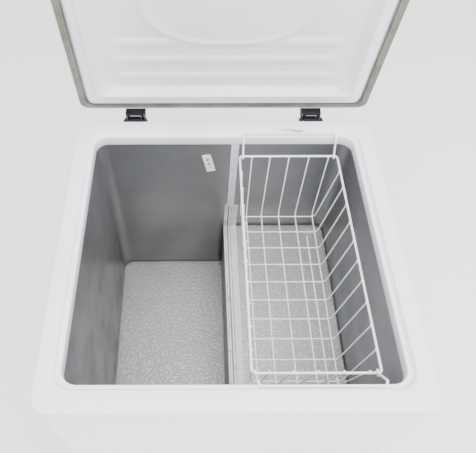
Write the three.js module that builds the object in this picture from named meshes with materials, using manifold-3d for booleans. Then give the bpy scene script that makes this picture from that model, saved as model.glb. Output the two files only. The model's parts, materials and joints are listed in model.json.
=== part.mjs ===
// Small chest freezer with an open lid, a lift-out wire basket and a compressor under its step.
// Millimetres, +Z up, +X right, front towards -Y. The floor is z = 0.
import * as THREE from 'three';
import { mergeVertices } from 'three/addons/utils/BufferGeometryUtils.js';
import Module from 'manifold-3d';

const wasm = await Module();
wasm.setup();

// ---------------------------------------------------------------- driving dimensions

const GAP = 0.3;

// cabinet, measured on the plastic top frame
const WIDTH = 620;
const DEPTH = 612;
const RIM_TOP = 640;
const SKIRT = 22;
const FOOT_HEIGHT = 34;
const SHEET = 1.2;
const WRAP_INSET = 3;
const CORNER = 22;

// liner: draft from its top to the well floor, and the step over the compressor
const WELL_DEPTH = 520;
const STEP_DROP = 335;
const STEP_X = 13.5;
const LINER_TOP = { side: 35.6, back: 36.6, front: 41.8 };
const LINER_FOOT = { side: 45.5, back: 36.9, front: 49 };
const LINER_CORNER = 25;

// strip over the step's edge, its upstand on the back wall, and the divider guides above it
const TRIM_REACH = 31;
const TRIM_UPSTAND = 91;
const GUIDE = { from: 3.5, width: 16.5, depth: 3.2 };

// top frame: the wide sealing band, the ledge that carries the basket, and the lip
const LIP_DROP = 30;
const LEDGE_DROP = 8;
const LEDGE = { side: 31.2, back: 32, front: 38 };
const LIP = { side: 38.6, back: 39.3, front: 44.7 };

// compressor compartment
const BAY_X = 64;
const BAY_TOP = 254;
const SIDE_VENT = { y0: -60, y1: 190, z0: 76, z1: 206 };
const SIDE_GRILLE = { y0: -72, y1: 202, z0: 64, z1: 218, slots: 9, first: 78, pitch: 14.5, height: 7.5 };
const COVER = { x0: 76, x1: 264, z0: 52, z1: 244, slots: 6, first: 104, pitch: 20, height: 6 };
const COVER_SCREWS = [[82, 60], [258, 60], [82, 236], [258, 236]];
const GLAND = { x: 112, z: 78 };
const DRAIN = { x: -180, y: -215, radius: 11 };
const OUTLET_Z = 74;

// controls on the front
const CONTROL_WINDOW = { x0: 160, x1: 280, z0: 82, z1: 118 };
const FASCIA = { x0: 150, x1: 290, z0: 72, z1: 128 };
const KNOB_X = 252;
const LAMP_X = [176, 196];
const CONTROL_Z = 100;

// lid, hinged behind and below the top frame
const HINGE_Y = 322;
const HINGE_Z = 623;
const LID_OPEN = 83;
const GASKET = 12;
const LID_TOP = 702;
const LID_PANEL = 641;
const LID_CREST = 621.5;
const HINGE_X = 191;
const HINGE_WIDTH = 49;
const GRIP_HALF = 95;
const LOCK_X = 140;
const LOCK_Z = 672;

// basket and its two bails
const BASKET = { left: 34, right: 242.5, front: -231.5, back: 243, top: 598 };
const BASKET_FLOOR = { left: 44, right: 217, front: -196, back: 198.5, z: 440 };
const FRAME_WIRE = 4.6;
const THIN_WIRE = 2.8;
const HOOPS = 10;
const LONG_WIRES = [[60, 58], [99, 93], [139.5, 133], [182, 172], [224, 212]];
const SHORT_WIRE = { topX: 209, floorX: 193, end: 138 };
const BAIL_LEFT = 41;
const BAIL_RIGHT = 235.5;

// ---------------------------------------------------------------- shape helpers

function solid(geometry) {
  const plain = geometry.index ? geometry.clone() : geometry;
  plain.deleteAttribute('normal');
  plain.deleteAttribute('uv');
  const merged = mergeVertices(plain, 1e-4);
  return new wasm.Manifold(new wasm.Mesh({
    numProp: 3,
    vertProperties: new Float32Array(merged.attributes.position.array),
    triVerts: new Uint32Array(merged.index.array),
  }));
}

function geometryOf(manifold) {
  const mesh = manifold.getMesh();
  const geometry = new THREE.BufferGeometry();
  geometry.setAttribute('position', new THREE.BufferAttribute(mesh.vertProperties, 3));
  geometry.setIndex(new THREE.BufferAttribute(mesh.triVerts, 1));
  return geometry;
}

function add(first, ...others) {
  return others.reduce((whole, piece) => whole.add(piece), first);
}

function cut(first, ...others) {
  return others.reduce((whole, piece) => whole.subtract(piece), first);
}

// box between two corners
function block(x0, x1, y0, y1, z0, z1) {
  const geometry = new THREE.BoxGeometry(x1 - x0, y1 - y0, z1 - z0);
  return solid(geometry.translate((x0 + x1) / 2, (y0 + y1) / 2, (z0 + z1) / 2));
}

// cylinder from a point along an axis
function rod(x, y, z, radius, length, axis = 'z', sides = 16) {
  const geometry = new THREE.CylinderGeometry(radius, radius, length, sides);
  geometry.translate(0, length / 2, 0);
  if (axis === 'z') geometry.rotateX(Math.PI / 2);
  if (axis === 'x') geometry.rotateZ(-Math.PI / 2);
  return solid(geometry.translate(x, y, z));
}

// turned part: [radius, height] pairs from axis to axis, standing on a point along an axis
function turned(profile, x, y, z, axis = 'z', sides = 16) {
  const points = profile.map(([r, h]) => new THREE.Vector2(r, h));
  const geometry = new THREE.LatheGeometry(points, sides);
  if (axis === 'z') geometry.rotateX(Math.PI / 2);
  if (axis === '-y') geometry.rotateX(Math.PI);
  if (axis === 'x') geometry.rotateZ(-Math.PI / 2);
  return solid(geometry.translate(x, y, z));
}

// one level outline of the cabinet, moved in from its outer faces
function outline(inset, radius, z, steps = 4) {
  const even = { side: inset, back: inset, front: inset };
  const { side, back, front } = typeof inset === 'number' ? even : inset;
  const x = WIDTH / 2 - side - radius;
  const yBack = DEPTH / 2 - back - radius;
  const yFront = -DEPTH / 2 + front + radius;
  const centres = [[x, yBack], [-x, yBack], [-x, yFront], [x, yFront]];
  const points = [];
  centres.forEach(([cx, cy], corner) => {
    for (let i = 0; i <= steps; i += 1) {
      const angle = (corner + i / steps) * Math.PI / 2;
      points.push([cx + radius * Math.cos(angle), cy + radius * Math.sin(angle), z]);
    }
  });
  return points;
}

// skin through level outlines, listed downwards; ringed joins the last outline to the first
function loft(rings, ringed = false) {
  const count = rings[0].length;
  const positions = rings.flat(2);
  const index = [];
  const spans = ringed ? rings.length : rings.length - 1;
  for (let r = 0; r < spans; r += 1) {
    const above = r * count;
    const below = ((r + 1) % rings.length) * count;
    for (let i = 0; i < count; i += 1) {
      const next = (i + 1) % count;
      index.push(above + i, below + i, below + next, above + i, below + next, above + next);
    }
  }
  if (!ringed) {
    const top = positions.length / 3;
    positions.push(...middle(rings[0]), ...middle(rings[rings.length - 1]));
    const last = (rings.length - 1) * count;
    for (let i = 0; i < count; i += 1) {
      const next = (i + 1) % count;
      index.push(top, i, next, top + 1, last + next, last + i);
    }
  }
  const geometry = new THREE.BufferGeometry();
  geometry.setAttribute('position', new THREE.BufferAttribute(new Float32Array(positions), 3));
  geometry.setIndex(index);
  return solid(geometry);
}

function middle(ring) {
  return [0, 1, 2].map((axis) => ring.reduce((sum, point) => sum + point[axis], 0) / ring.length);
}

// straight-sided prism of the cabinet's outline
function prism(inset, radius, z0, z1, steps = 4) {
  return loft([outline(inset, radius, z1, steps), outline(inset, radius, z0, steps)]);
}

// route of a wire or pipe through its own points, so that every bend keeps its place
class Route extends THREE.Curve {
  constructor(points) {
    super();
    this.points = points.map(([x, y, z]) => new THREE.Vector3(x, y, z));
  }

  getPoint(t) {
    const place = t * (this.points.length - 1);
    const i = Math.min(Math.floor(place), this.points.length - 2);
    return this.points[i].clone().lerp(this.points[i + 1], place - i);
  }

  getPointAt(t) {
    return this.getPoint(t);
  }

  getTangent(t) {
    const last = this.points.length - 1;
    const i = Math.round(t * last);
    const tangent = new THREE.Vector3();
    if (i > 0) tangent.add(this.points[i].clone().sub(this.points[i - 1]).normalize());
    if (i < last) tangent.add(this.points[i + 1].clone().sub(this.points[i]).normalize());
    return tangent.normalize();
  }

  getTangentAt(t) {
    return this.getTangent(t);
  }
}

// round wire or pipe through points
function wire(points, diameter, sides = 6) {
  const section = new THREE.Shape();
  for (let i = 0; i < sides; i += 1) {
    const angle = (i + 0.5) * 2 * Math.PI / sides;
    const x = Math.cos(angle) * diameter / 2;
    const y = Math.sin(angle) * diameter / 2;
    if (i === 0) section.moveTo(x, y);
    else section.lineTo(x, y);
  }
  const extrudePath = new Route(points);
  return solid(new THREE.ExtrudeGeometry(section, { steps: points.length - 1, extrudePath }));
}

// outline in X and Y, raised between two heights
function plate(points, z0, z1) {
  const shape = new THREE.Shape(points.map(([x, y]) => new THREE.Vector2(x, y)));
  const geometry = new THREE.ExtrudeGeometry(shape, { depth: z1 - z0, bevelEnabled: false });
  return solid(geometry.translate(0, 0, z0));
}

// outline in Y and Z, extended between two places along X
function profileAlongX(points, x0, x1) {
  const shape = new THREE.Shape(points.map(([y, z]) => new THREE.Vector2(y, z)));
  const geometry = new THREE.ExtrudeGeometry(shape, { depth: x1 - x0, bevelEnabled: false });
  geometry.rotateY(Math.PI / 2).rotateX(Math.PI / 2);
  return solid(geometry.translate(x0, 0, 0));
}

// outline in X and Z, extended between two places along Y
function profileAlongY(points, y0, y1) {
  const shape = new THREE.Shape(points.map(([x, z]) => new THREE.Vector2(x, z)));
  const geometry = new THREE.ExtrudeGeometry(shape, { depth: y1 - y0, bevelEnabled: false });
  return solid(geometry.rotateX(Math.PI / 2).translate(0, y1, 0));
}

// ---------------------------------------------------------------- finishes and the tree

const FINISHES = {
  whitePaint: [0xf1f1f4, 0.4, 0.0],
  whitePlastic: [0xeeeef2, 0.45, 0.0],
  liner: [0x9a9c9e, 0.45, 0.8],
  greyPlastic: [0x8b8d8c, 0.6, 0.0],
  gasket: [0x84847b, 0.85, 0.0],
  foam: [0xe6d9a8, 0.9, 0.0],
  galvanised: [0xa9adb0, 0.45, 0.7],
  black: [0x17181a, 0.5, 0.0],
  steel: [0xb9bcc0, 0.3, 0.9],
  coatedWire: [0xf6f6f8, 0.35, 0.0],
  copper: [0xb5713f, 0.35, 0.9],
  rubber: [0x202020, 0.9, 0.0],
  label: [0xf4f4f0, 0.7, 0.0],
  green: [0x2f9b4a, 0.3, 0.0],
  red: [0xb5322a, 0.3, 0.0],
};

const freezer = new THREE.Group();
const lid = new THREE.Group();

function part(name, manifold, finish, group = freezer) {
  const [color, roughness, metalness] = FINISHES[finish];
  const material = new THREE.MeshStandardMaterial({ color, roughness, metalness });
  const mesh = new THREE.Mesh(geometryOf(manifold), material);
  mesh.name = name;
  group.add(mesh);
}

// ---------------------------------------------------------------- cabinet shell

const WRAP_X = WIDTH / 2 - WRAP_INSET;
const WRAP_Y = DEPTH / 2 - WRAP_INSET;
const WRAP_TOP = RIM_TOP - 5;
const PANEL_X = 268;
const wellFloor = RIM_TOP - WELL_DEPTH;
const stepTop = RIM_TOP - STEP_DROP;

const sideVent = block(
  WRAP_X - 4, WRAP_X + 4, SIDE_VENT.y0, SIDE_VENT.y1, SIDE_VENT.z0, SIDE_VENT.z1,
);
const controlWindow = block(
  CONTROL_WINDOW.x0, CONTROL_WINDOW.x1, -WRAP_Y - 4, -WRAP_Y + 4, CONTROL_WINDOW.z0, CONTROL_WINDOW.z1,
);
const drainOutlet = rod(DRAIN.x, -WRAP_Y - 4, OUTLET_Z, 9.5, 8, 'y');
const wrap = cut(
  prism(WRAP_INSET, CORNER - 3, FOOT_HEIGHT, WRAP_TOP),
  prism(WRAP_INSET + SHEET, CORNER - 4, FOOT_HEIGHT - 1, WRAP_TOP + 1),
  block(-PANEL_X - GAP, PANEL_X + GAP, WRAP_Y - 5, WRAP_Y + 5, FOOT_HEIGHT - 1, WRAP_TOP + 1),
  sideVent,
  controlWindow,
  drainOutlet,
);
part('outer_wrap', wrap, 'whitePaint');

const rearSheet = block(-PANEL_X, PANEL_X, WRAP_Y - SHEET, WRAP_Y, FOOT_HEIGHT, WRAP_TOP);
const coverHole = block(COVER.x0 + 12, COVER.x1 - 12, WRAP_Y - 5, WRAP_Y + 5, COVER.z0 + 12, COVER.z1 - 12);
part('rear_panel', cut(rearSheet, coverHole), 'galvanised');

const basePan = prism(WRAP_INSET + SHEET + GAP, CORNER - 5, FOOT_HEIGHT, FOOT_HEIGHT + 2);
part('base_pan', basePan, 'galvanised');

// sections of the top frame, from the skirt over the band and the ledge to the lip and back underneath
const rimSections = [
  [0, 0, 0, RIM_TOP - SKIRT, CORNER],
  [0, 0, 0, RIM_TOP - 4, CORNER],
  [1.2, 1.2, 1.2, RIM_TOP - 1.2, CORNER],
  [4, 4, 4, RIM_TOP, CORNER],
  [27.3, 28, 34.5, RIM_TOP, 30],
  [LEDGE.side, LEDGE.back, LEDGE.front, RIM_TOP - LEDGE_DROP, 29],
  [LIP.side - 1.6, LIP.back - 1.6, LIP.front - 1.6, RIM_TOP - LEDGE_DROP, 27],
  [LIP.side, LIP.back, LIP.front, RIM_TOP - LEDGE_DROP - 1.6, 26],
  [LIP.side, LIP.back, LIP.front, RIM_TOP - LIP_DROP, 26],
  [LIP.side - 1.8, LIP.back - 1.8, LIP.front - 1.8, RIM_TOP - LIP_DROP, 27],
  [LIP.side - 1.8, LIP.back - 1.8, LIP.front - 1.8, RIM_TOP - LEDGE_DROP - 2.4, 27],
  [LEDGE.side - 1.4, LEDGE.back - 1.4, LEDGE.front - 1.4, RIM_TOP - LEDGE_DROP - 2.4, 29],
  [25.5, 26.2, 32.7, RIM_TOP - 2.4, 30],
  [2.5, 2.5, 2.5, RIM_TOP - 2.4, CORNER - 2.5],
  [2.5, 2.5, 2.5, RIM_TOP - SKIRT, CORNER - 2.5],
];
const rim = loft(
  rimSections.map(([side, back, front, z, radius]) => outline({ side, back, front }, radius, z)).reverse(),
  true,
);
part('top_frame', rim, 'whitePlastic');

// ---------------------------------------------------------------- liner and insulation

// the liner's outline at a height, grown outwards by some thickness
function linerOutline(z, grown, steps = 4) {
  const up = (z - wellFloor) / (RIM_TOP - wellFloor);
  const inset = {};
  for (const edge of ['side', 'back', 'front']) {
    inset[edge] = LINER_FOOT[edge] + (LINER_TOP[edge] - LINER_FOOT[edge]) * up - grown;
  }
  return outline(inset, LINER_CORNER + grown, z, steps);
}

function linerSolid(z0, z1, grown) {
  return loft([linerOutline(z1, grown), linerOutline(z0, grown)]);
}

const LINER_EDGE = RIM_TOP - LEDGE_DROP - 3;
const linerWalls = cut(
  linerSolid(wellFloor - 2, LINER_EDGE, SHEET),
  linerSolid(wellFloor - 3, LINER_EDGE + 1, 0),
  block(STEP_X + 2, 400, -400, 400, 0, stepTop - 2),
);
part('liner_walls', linerWalls, 'liner');

// well floor, step wall and step top folded from one sheet
const baseSection = [
  [-400, wellFloor],
  [STEP_X, wellFloor],
  [STEP_X, stepTop],
  [400, stepTop],
  [400, stepTop - 2],
  [STEP_X + 2, stepTop - 2],
  [STEP_X + 2, wellFloor - 2],
  [-400, wellFloor - 2],
];
const drainHole = rod(DRAIN.x, DRAIN.y, wellFloor - 20, DRAIN.radius, 40);
const linerBase = cut(
  profileAlongY(baseSection, -400, 400).intersect(linerSolid(wellFloor - 4, stepTop + 4, -GAP)),
  drainHole,
);
part('liner_base', linerBase, 'liner');

const backWall = DEPTH / 2 - LINER_TOP.back;
const frontWall = -DEPTH / 2 + LINER_FOOT.front;

// strip over the step's edge, listed as [distance past the edge, height over the step]
const ridges = [
  [TRIM_REACH, 1.1],
  [14.4, 1.4],
  [13.2, 3.2],
  [10.2, 3.2],
  [9.4, 1.2],
  [6.8, 1.2],
  [5.8, 3.4],
  [2.4, 3.4],
  [1.6, 2.2],
  [-0.6, 2.2],
  [-1.6, 1.4],
];
const trimSection = [
  [STEP_X - 1.6, stepTop - 9],
  [STEP_X - GAP, stepTop - 9],
  [STEP_X - GAP, stepTop + GAP],
  [STEP_X + TRIM_REACH, stepTop + GAP],
  ...ridges.map(([x, rise]) => [STEP_X + x, stepTop + rise]),
];
const upstandSection = [
  [STEP_X - 1.6, backWall - GAP],
  [STEP_X + TRIM_REACH, backWall - GAP],
  ...ridges.map(([x, rise]) => [STEP_X + x, backWall - GAP - rise]),
];
const TRIM_END = backWall - GAP - 1;
part('step_edge_trim', add(
  profileAlongY(trimSection, frontWall + 1, TRIM_END),
  plate(upstandSection, stepTop + GAP, stepTop + TRIM_UPSTAND - GAP),
), 'greyPlastic');

// shallow channels on the liner that guide a divider above the step's edge
function dividerGuide(y, facing) {
  const x = STEP_X + GUIDE.from;
  const faces = [y, y + facing * GUIDE.depth].sort((a, b) => a - b);
  const slotFaces = [y + facing * 1.2, y + facing * (GUIDE.depth + 1)].sort((a, b) => a - b);
  const body = block(x, x + GUIDE.width, ...faces, stepTop + TRIM_UPSTAND, RIM_TOP - LIP_DROP - 1);
  const slot = block(x + 6.5, x + 10.5, ...slotFaces, stepTop + TRIM_UPSTAND - 5, RIM_TOP);
  return cut(body, slot);
}
part('divider_guide_rear', dividerGuide(backWall - GAP, -1), 'whitePlastic');
part('divider_guide_front', dividerGuide(frontWall + GAP, 1), 'whitePlastic');

// blank rating sticker on the back wall of the liner
const LABEL = { x: -31, z: RIM_TOP - 92, width: 20, height: 56, lean: 13 };
const sticker = new THREE.BoxGeometry(LABEL.width, 0.4, LABEL.height);
sticker.rotateY(-THREE.MathUtils.degToRad(LABEL.lean));
sticker.translate(LABEL.x, backWall - GAP - 0.2, LABEL.z);
part('wall_label', solid(sticker), 'label');

// pipes wound round the liner and inside the outer wrap
function winding(z0, pitch, turns, levelAt) {
  const points = [];
  for (let turn = 0; turn < turns; turn += 1) {
    const ring = levelAt(z0 + pitch * turn);
    ring.forEach(([x, y, z], i) => points.push([x, y, z + pitch * i / ring.length]));
  }
  return points;
}
const EVAPORATOR = { pipe: 6, z0: 352, pitch: 48, turns: 5 };
const evaporatorPath = winding(
  EVAPORATOR.z0,
  EVAPORATOR.pitch,
  EVAPORATOR.turns,
  (z) => linerOutline(z, SHEET + EVAPORATOR.pipe / 2 + 2.2, 3),
);
part('evaporator_coil', wire(evaporatorPath, EVAPORATOR.pipe, 5), 'copper');

const CONDENSER = { pipe: 4.8, z0: 290, pitch: 62, turns: 5 };
const CONDENSER_INSET = WRAP_INSET + SHEET + CONDENSER.pipe / 2 + 0.8;
const condenserPath = winding(
  CONDENSER.z0,
  CONDENSER.pitch,
  CONDENSER.turns,
  (z) => outline(CONDENSER_INSET, CORNER - 6, z, 2),
);
part('condenser_coil', wire(condenserPath, CONDENSER.pipe, 5), 'copper');

const drainPath = [
  [DRAIN.x, DRAIN.y, wellFloor - 2.4],
  [DRAIN.x, DRAIN.y, 86],
  [DRAIN.x, DRAIN.y - 4, 77.5],
  [DRAIN.x, DRAIN.y - 12, OUTLET_Z],
  [DRAIN.x, -WRAP_Y + SHEET + 1, OUTLET_Z],
];
const FOAM_TOP = RIM_TOP - LEDGE_DROP - 3;
const coilSpace = loft([
  linerOutline(LINER_EDGE - 16, SHEET + EVAPORATOR.pipe + 3.4),
  linerOutline(EVAPORATOR.z0 - 8, SHEET + EVAPORATOR.pipe + 3.4),
]);
const pipeSpace = cut(
  prism(0, CORNER, CONDENSER.z0 - 6, CONDENSER.z0 + CONDENSER.pitch * CONDENSER.turns + 6),
  prism(WRAP_INSET + SHEET + CONDENSER.pipe + 1.6, CORNER - 8, 0, RIM_TOP),
);
const stepFill = block(STEP_X + 2 + GAP, 400, -400, 400, 0, stepTop - 2 - GAP);
const ledgeSpace = { side: LEDGE.side - 5, back: LEDGE.back - 5, front: LEDGE.front - 5 };
const foam = cut(
  prism(WRAP_INSET + SHEET + GAP, CORNER - 5, FOOT_HEIGHT + 2 + GAP, FOAM_TOP),
  cut(linerSolid(wellFloor - 2 - GAP, RIM_TOP + 5, SHEET + GAP), stepFill),
  block(BAY_X, 400, -400, 400, 0, BAY_TOP),
  prism(ledgeSpace, 30, FOAM_TOP - 30, RIM_TOP),
  coilSpace,
  pipeSpace,
  wire([...drainPath.slice(0, 4), [DRAIN.x, -400, OUTLET_Z]], 19.2, 8),
  rod(DRAIN.x, DRAIN.y, wellFloor - 20, DRAIN.radius + 1.5, 40),
);
part('insulation_foam', foam, 'foam');

// ---------------------------------------------------------------- drain

part('drain_tube', cut(wire(drainPath, 18, 8), wire([
  [DRAIN.x, DRAIN.y, wellFloor],
  ...drainPath.slice(1, 4),
  [DRAIN.x, -WRAP_Y - 2, OUTLET_Z],
], 13, 8)), 'greyPlastic');
part('drain_plug', turned([
  [0, -10],
  [5.2, -10],
  [5.6, GAP],
  [15, GAP],
  [15, 2.6],
  [4, 3.4],
  [3.2, 10],
  [0, 10],
], DRAIN.x, DRAIN.y, wellFloor, 'z', 12), 'rubber');
part('drain_cap', turned([
  [0, -3],
  [5.6, -3],
  [5.6, GAP],
  [14, GAP],
  [14, 5],
  [12, 7],
  [0, 7],
], DRAIN.x, -WRAP_Y, OUTLET_Z, '-y', 12), 'whitePlastic');

// ---------------------------------------------------------------- controls

const PANEL_FACE = -WRAP_Y - 3;
const panelPlate = cut(
  block(FASCIA.x0, FASCIA.x1, PANEL_FACE, -WRAP_Y - GAP, FASCIA.z0, FASCIA.z1),
  rod(KNOB_X, PANEL_FACE - 5, CONTROL_Z, 5, 20, 'y', 12),
  ...LAMP_X.map((x) => rod(x, PANEL_FACE - 5, CONTROL_Z, 4, 20, 'y', 12)),
);
part('control_panel', panelPlate, 'greyPlastic');

const knobProfile = [[0, GAP], [17, GAP], [16, 12], [14.5, 13.5], [0, 13.5]];
const knobMark = block(
  KNOB_X - 1, KNOB_X + 1, PANEL_FACE - 14, PANEL_FACE - 12.4, CONTROL_Z + 4, CONTROL_Z + 18,
);
part('thermostat_knob', cut(add(
  turned(knobProfile, KNOB_X, PANEL_FACE, CONTROL_Z, '-y', 20),
  rod(KNOB_X, PANEL_FACE - 2, CONTROL_Z, 4, 16, 'y', 12),
), knobMark), 'whitePlastic');
const thermostatBox = block(
  KNOB_X - 20, KNOB_X + 20, PANEL_FACE + 16, PANEL_FACE + 44, CONTROL_Z - 18, CONTROL_Z + 18,
);
const thermostatTab = block(
  KNOB_X - 24, KNOB_X + 24, PANEL_FACE + 15, PANEL_FACE + 17, CONTROL_Z - 22, CONTROL_Z + 22,
);
part('thermostat_body', add(thermostatBox, thermostatTab), 'galvanised');

const lensProfile = [[0, -8], [3.6, -8], [3.6, 0], [3, 1.6], [0, 2.2]];
['power_lamp', 'running_lamp'].forEach((name, i) => {
  part(name, turned(lensProfile, LAMP_X[i], PANEL_FACE, CONTROL_Z, '-y', 10), i === 0 ? 'green' : 'red');
});

// ---------------------------------------------------------------- machine compartment

const MOTOR = { x: 186, y: 130 };
const motorFoot = FOOT_HEIGHT + 2;
part('compressor', add(
  turned([
    [0, 20],
    [50, 20],
    [66, 32],
    [71, 52],
    [73, 92],
    [71, 98],
    [70, 128],
    [58, 150],
    [36, 162],
    [0, 166],
  ], MOTOR.x, MOTOR.y, motorFoot, 'z', 20),
  block(MOTOR.x - 92, MOTOR.x + 92, MOTOR.y - 44, MOTOR.y + 44, motorFoot + 16.3, motorFoot + 20.3),
), 'black');
const grommetProfile = [[0, GAP], [11, GAP], [8, 6], [11, 16], [0, 16]];
for (const [i, [dx, dy]] of [[-80, -32], [80, -32], [-80, 32], [80, 32]].entries()) {
  const grommet = turned(grommetProfile, MOTOR.x + dx, MOTOR.y + dy, motorFoot, 'z', 10);
  part(`compressor_grommet_${i + 1}`, grommet, 'rubber');
}
const relayBox = block(
  MOTOR.x - 24, MOTOR.x + 24, MOTOR.y - 104, MOTOR.y - 74, motorFoot + 62, motorFoot + 120,
);
part('relay_box', relayBox, 'greyPlastic');
part('discharge_line', wire([
  [MOTOR.x + 76, MOTOR.y, motorFoot + 70],
  [MOTOR.x + 98, MOTOR.y, motorFoot + 70],
  [MOTOR.x + 104, MOTOR.y - 8, motorFoot + 74],
  [MOTOR.x + 106, MOTOR.y - 60, motorFoot + 150],
  [MOTOR.x + 106, MOTOR.y - 74, motorFoot + 210],
], 5), 'copper');
part('suction_line', wire([
  [MOTOR.x - 76, MOTOR.y, motorFoot + 110],
  [MOTOR.x - 96, MOTOR.y, motorFoot + 112],
  [MOTOR.x - 106, MOTOR.y - 10, motorFoot + 124],
  [MOTOR.x - 106, MOTOR.y - 30, motorFoot + 210],
], 7), 'copper');
part('filter_drier', turned([
  [0, 0],
  [2.2, 0],
  [2.4, 12],
  [8, 22],
  [8, 82],
  [2.4, 92],
  [2.2, 104],
  [0, 104],
], MOTOR.x, MOTOR.y - 190, motorFoot + 30, 'z', 12), 'copper');

const grilleSlots = Array.from({ length: SIDE_GRILLE.slots }, (_, i) => {
  const z = SIDE_GRILLE.first + SIDE_GRILLE.pitch * i;
  return block(0, 400, SIDE_GRILLE.y0 + 16, SIDE_GRILLE.y1 - 16, z, z + SIDE_GRILLE.height);
});
const grillePlate = block(
  WRAP_X + GAP, WIDTH / 2, SIDE_GRILLE.y0, SIDE_GRILLE.y1, SIDE_GRILLE.z0, SIDE_GRILLE.z1,
);
part('side_grille', cut(grillePlate, ...grilleSlots), 'whitePlastic');

const coverSlots = Array.from({ length: COVER.slots }, (_, i) => {
  const z = COVER.first + COVER.pitch * i;
  return block(COVER.x0 + 36, COVER.x1 - 36, 0, 400, z, z + COVER.height);
});
const coverPlate = cut(
  block(COVER.x0, COVER.x1, WRAP_Y + GAP, WRAP_Y + 2, COVER.z0, COVER.z1),
  ...coverSlots,
  ...COVER_SCREWS.map(([x, z]) => rod(x, WRAP_Y - 3, z, 2.6, 10, 'y', 8)),
  rod(GLAND.x, WRAP_Y - 3, GLAND.z, 8, 10, 'y', 12),
);
part('compressor_cover', coverPlate, 'galvanised');
for (const [i, [x, z]] of COVER_SCREWS.entries()) {
  const head = new THREE.CylinderGeometry(4.2, 4.6, 2.4, 8).translate(x, WRAP_Y + 2 + GAP + 1.2, z);
  part(`cover_screw_${i + 1}`, solid(head), 'steel');
}
part('mains_gland', turned([
  [3.8, -5],
  [7.4, -5],
  [7.4, 2.2],
  [10.5, 2.2],
  [9.5, 6],
  [5.6, 18],
  [3.8, 18],
  [3.8, -5],
], GLAND.x, WRAP_Y, GLAND.z, 'y', 12), 'black');

// ---------------------------------------------------------------- feet and hinges

const FOOT_PLACES = {
  front_left: [-255, -250],
  front_right: [255, -250],
  rear_left: [-255, 250],
  rear_right: [255, 250],
};
for (const [name, [x, y]] of Object.entries(FOOT_PLACES)) {
  part(`foot_${name}`, turned([
    [0, 0],
    [22, 0],
    [24, 3],
    [17, FOOT_HEIGHT - 4],
    [22, FOOT_HEIGHT - GAP],
    [0, FOOT_HEIGHT - GAP],
  ], x, y, 0, 'z', 16), 'black');
}

const PIN = 3;
const EAR = 2.2;
const LEAF_FOOT = HINGE_Z + 11.6;
const STEM_HALF = 17;

// tongue between the arms of the leaf that closes the hinge towards the top frame
const stem = [
  [HINGE_Y - 11.2, 601],
  [HINGE_Y - 9.2, 601],
  [HINGE_Y - 9.2, HINGE_Z + 9.6],
  [HINGE_Y - 4, HINGE_Z + 9.6],
  [HINGE_Y - 4, HINGE_Z + 11.6],
  [HINGE_Y - 11.2, HINGE_Z + 11.6],
];

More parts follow.
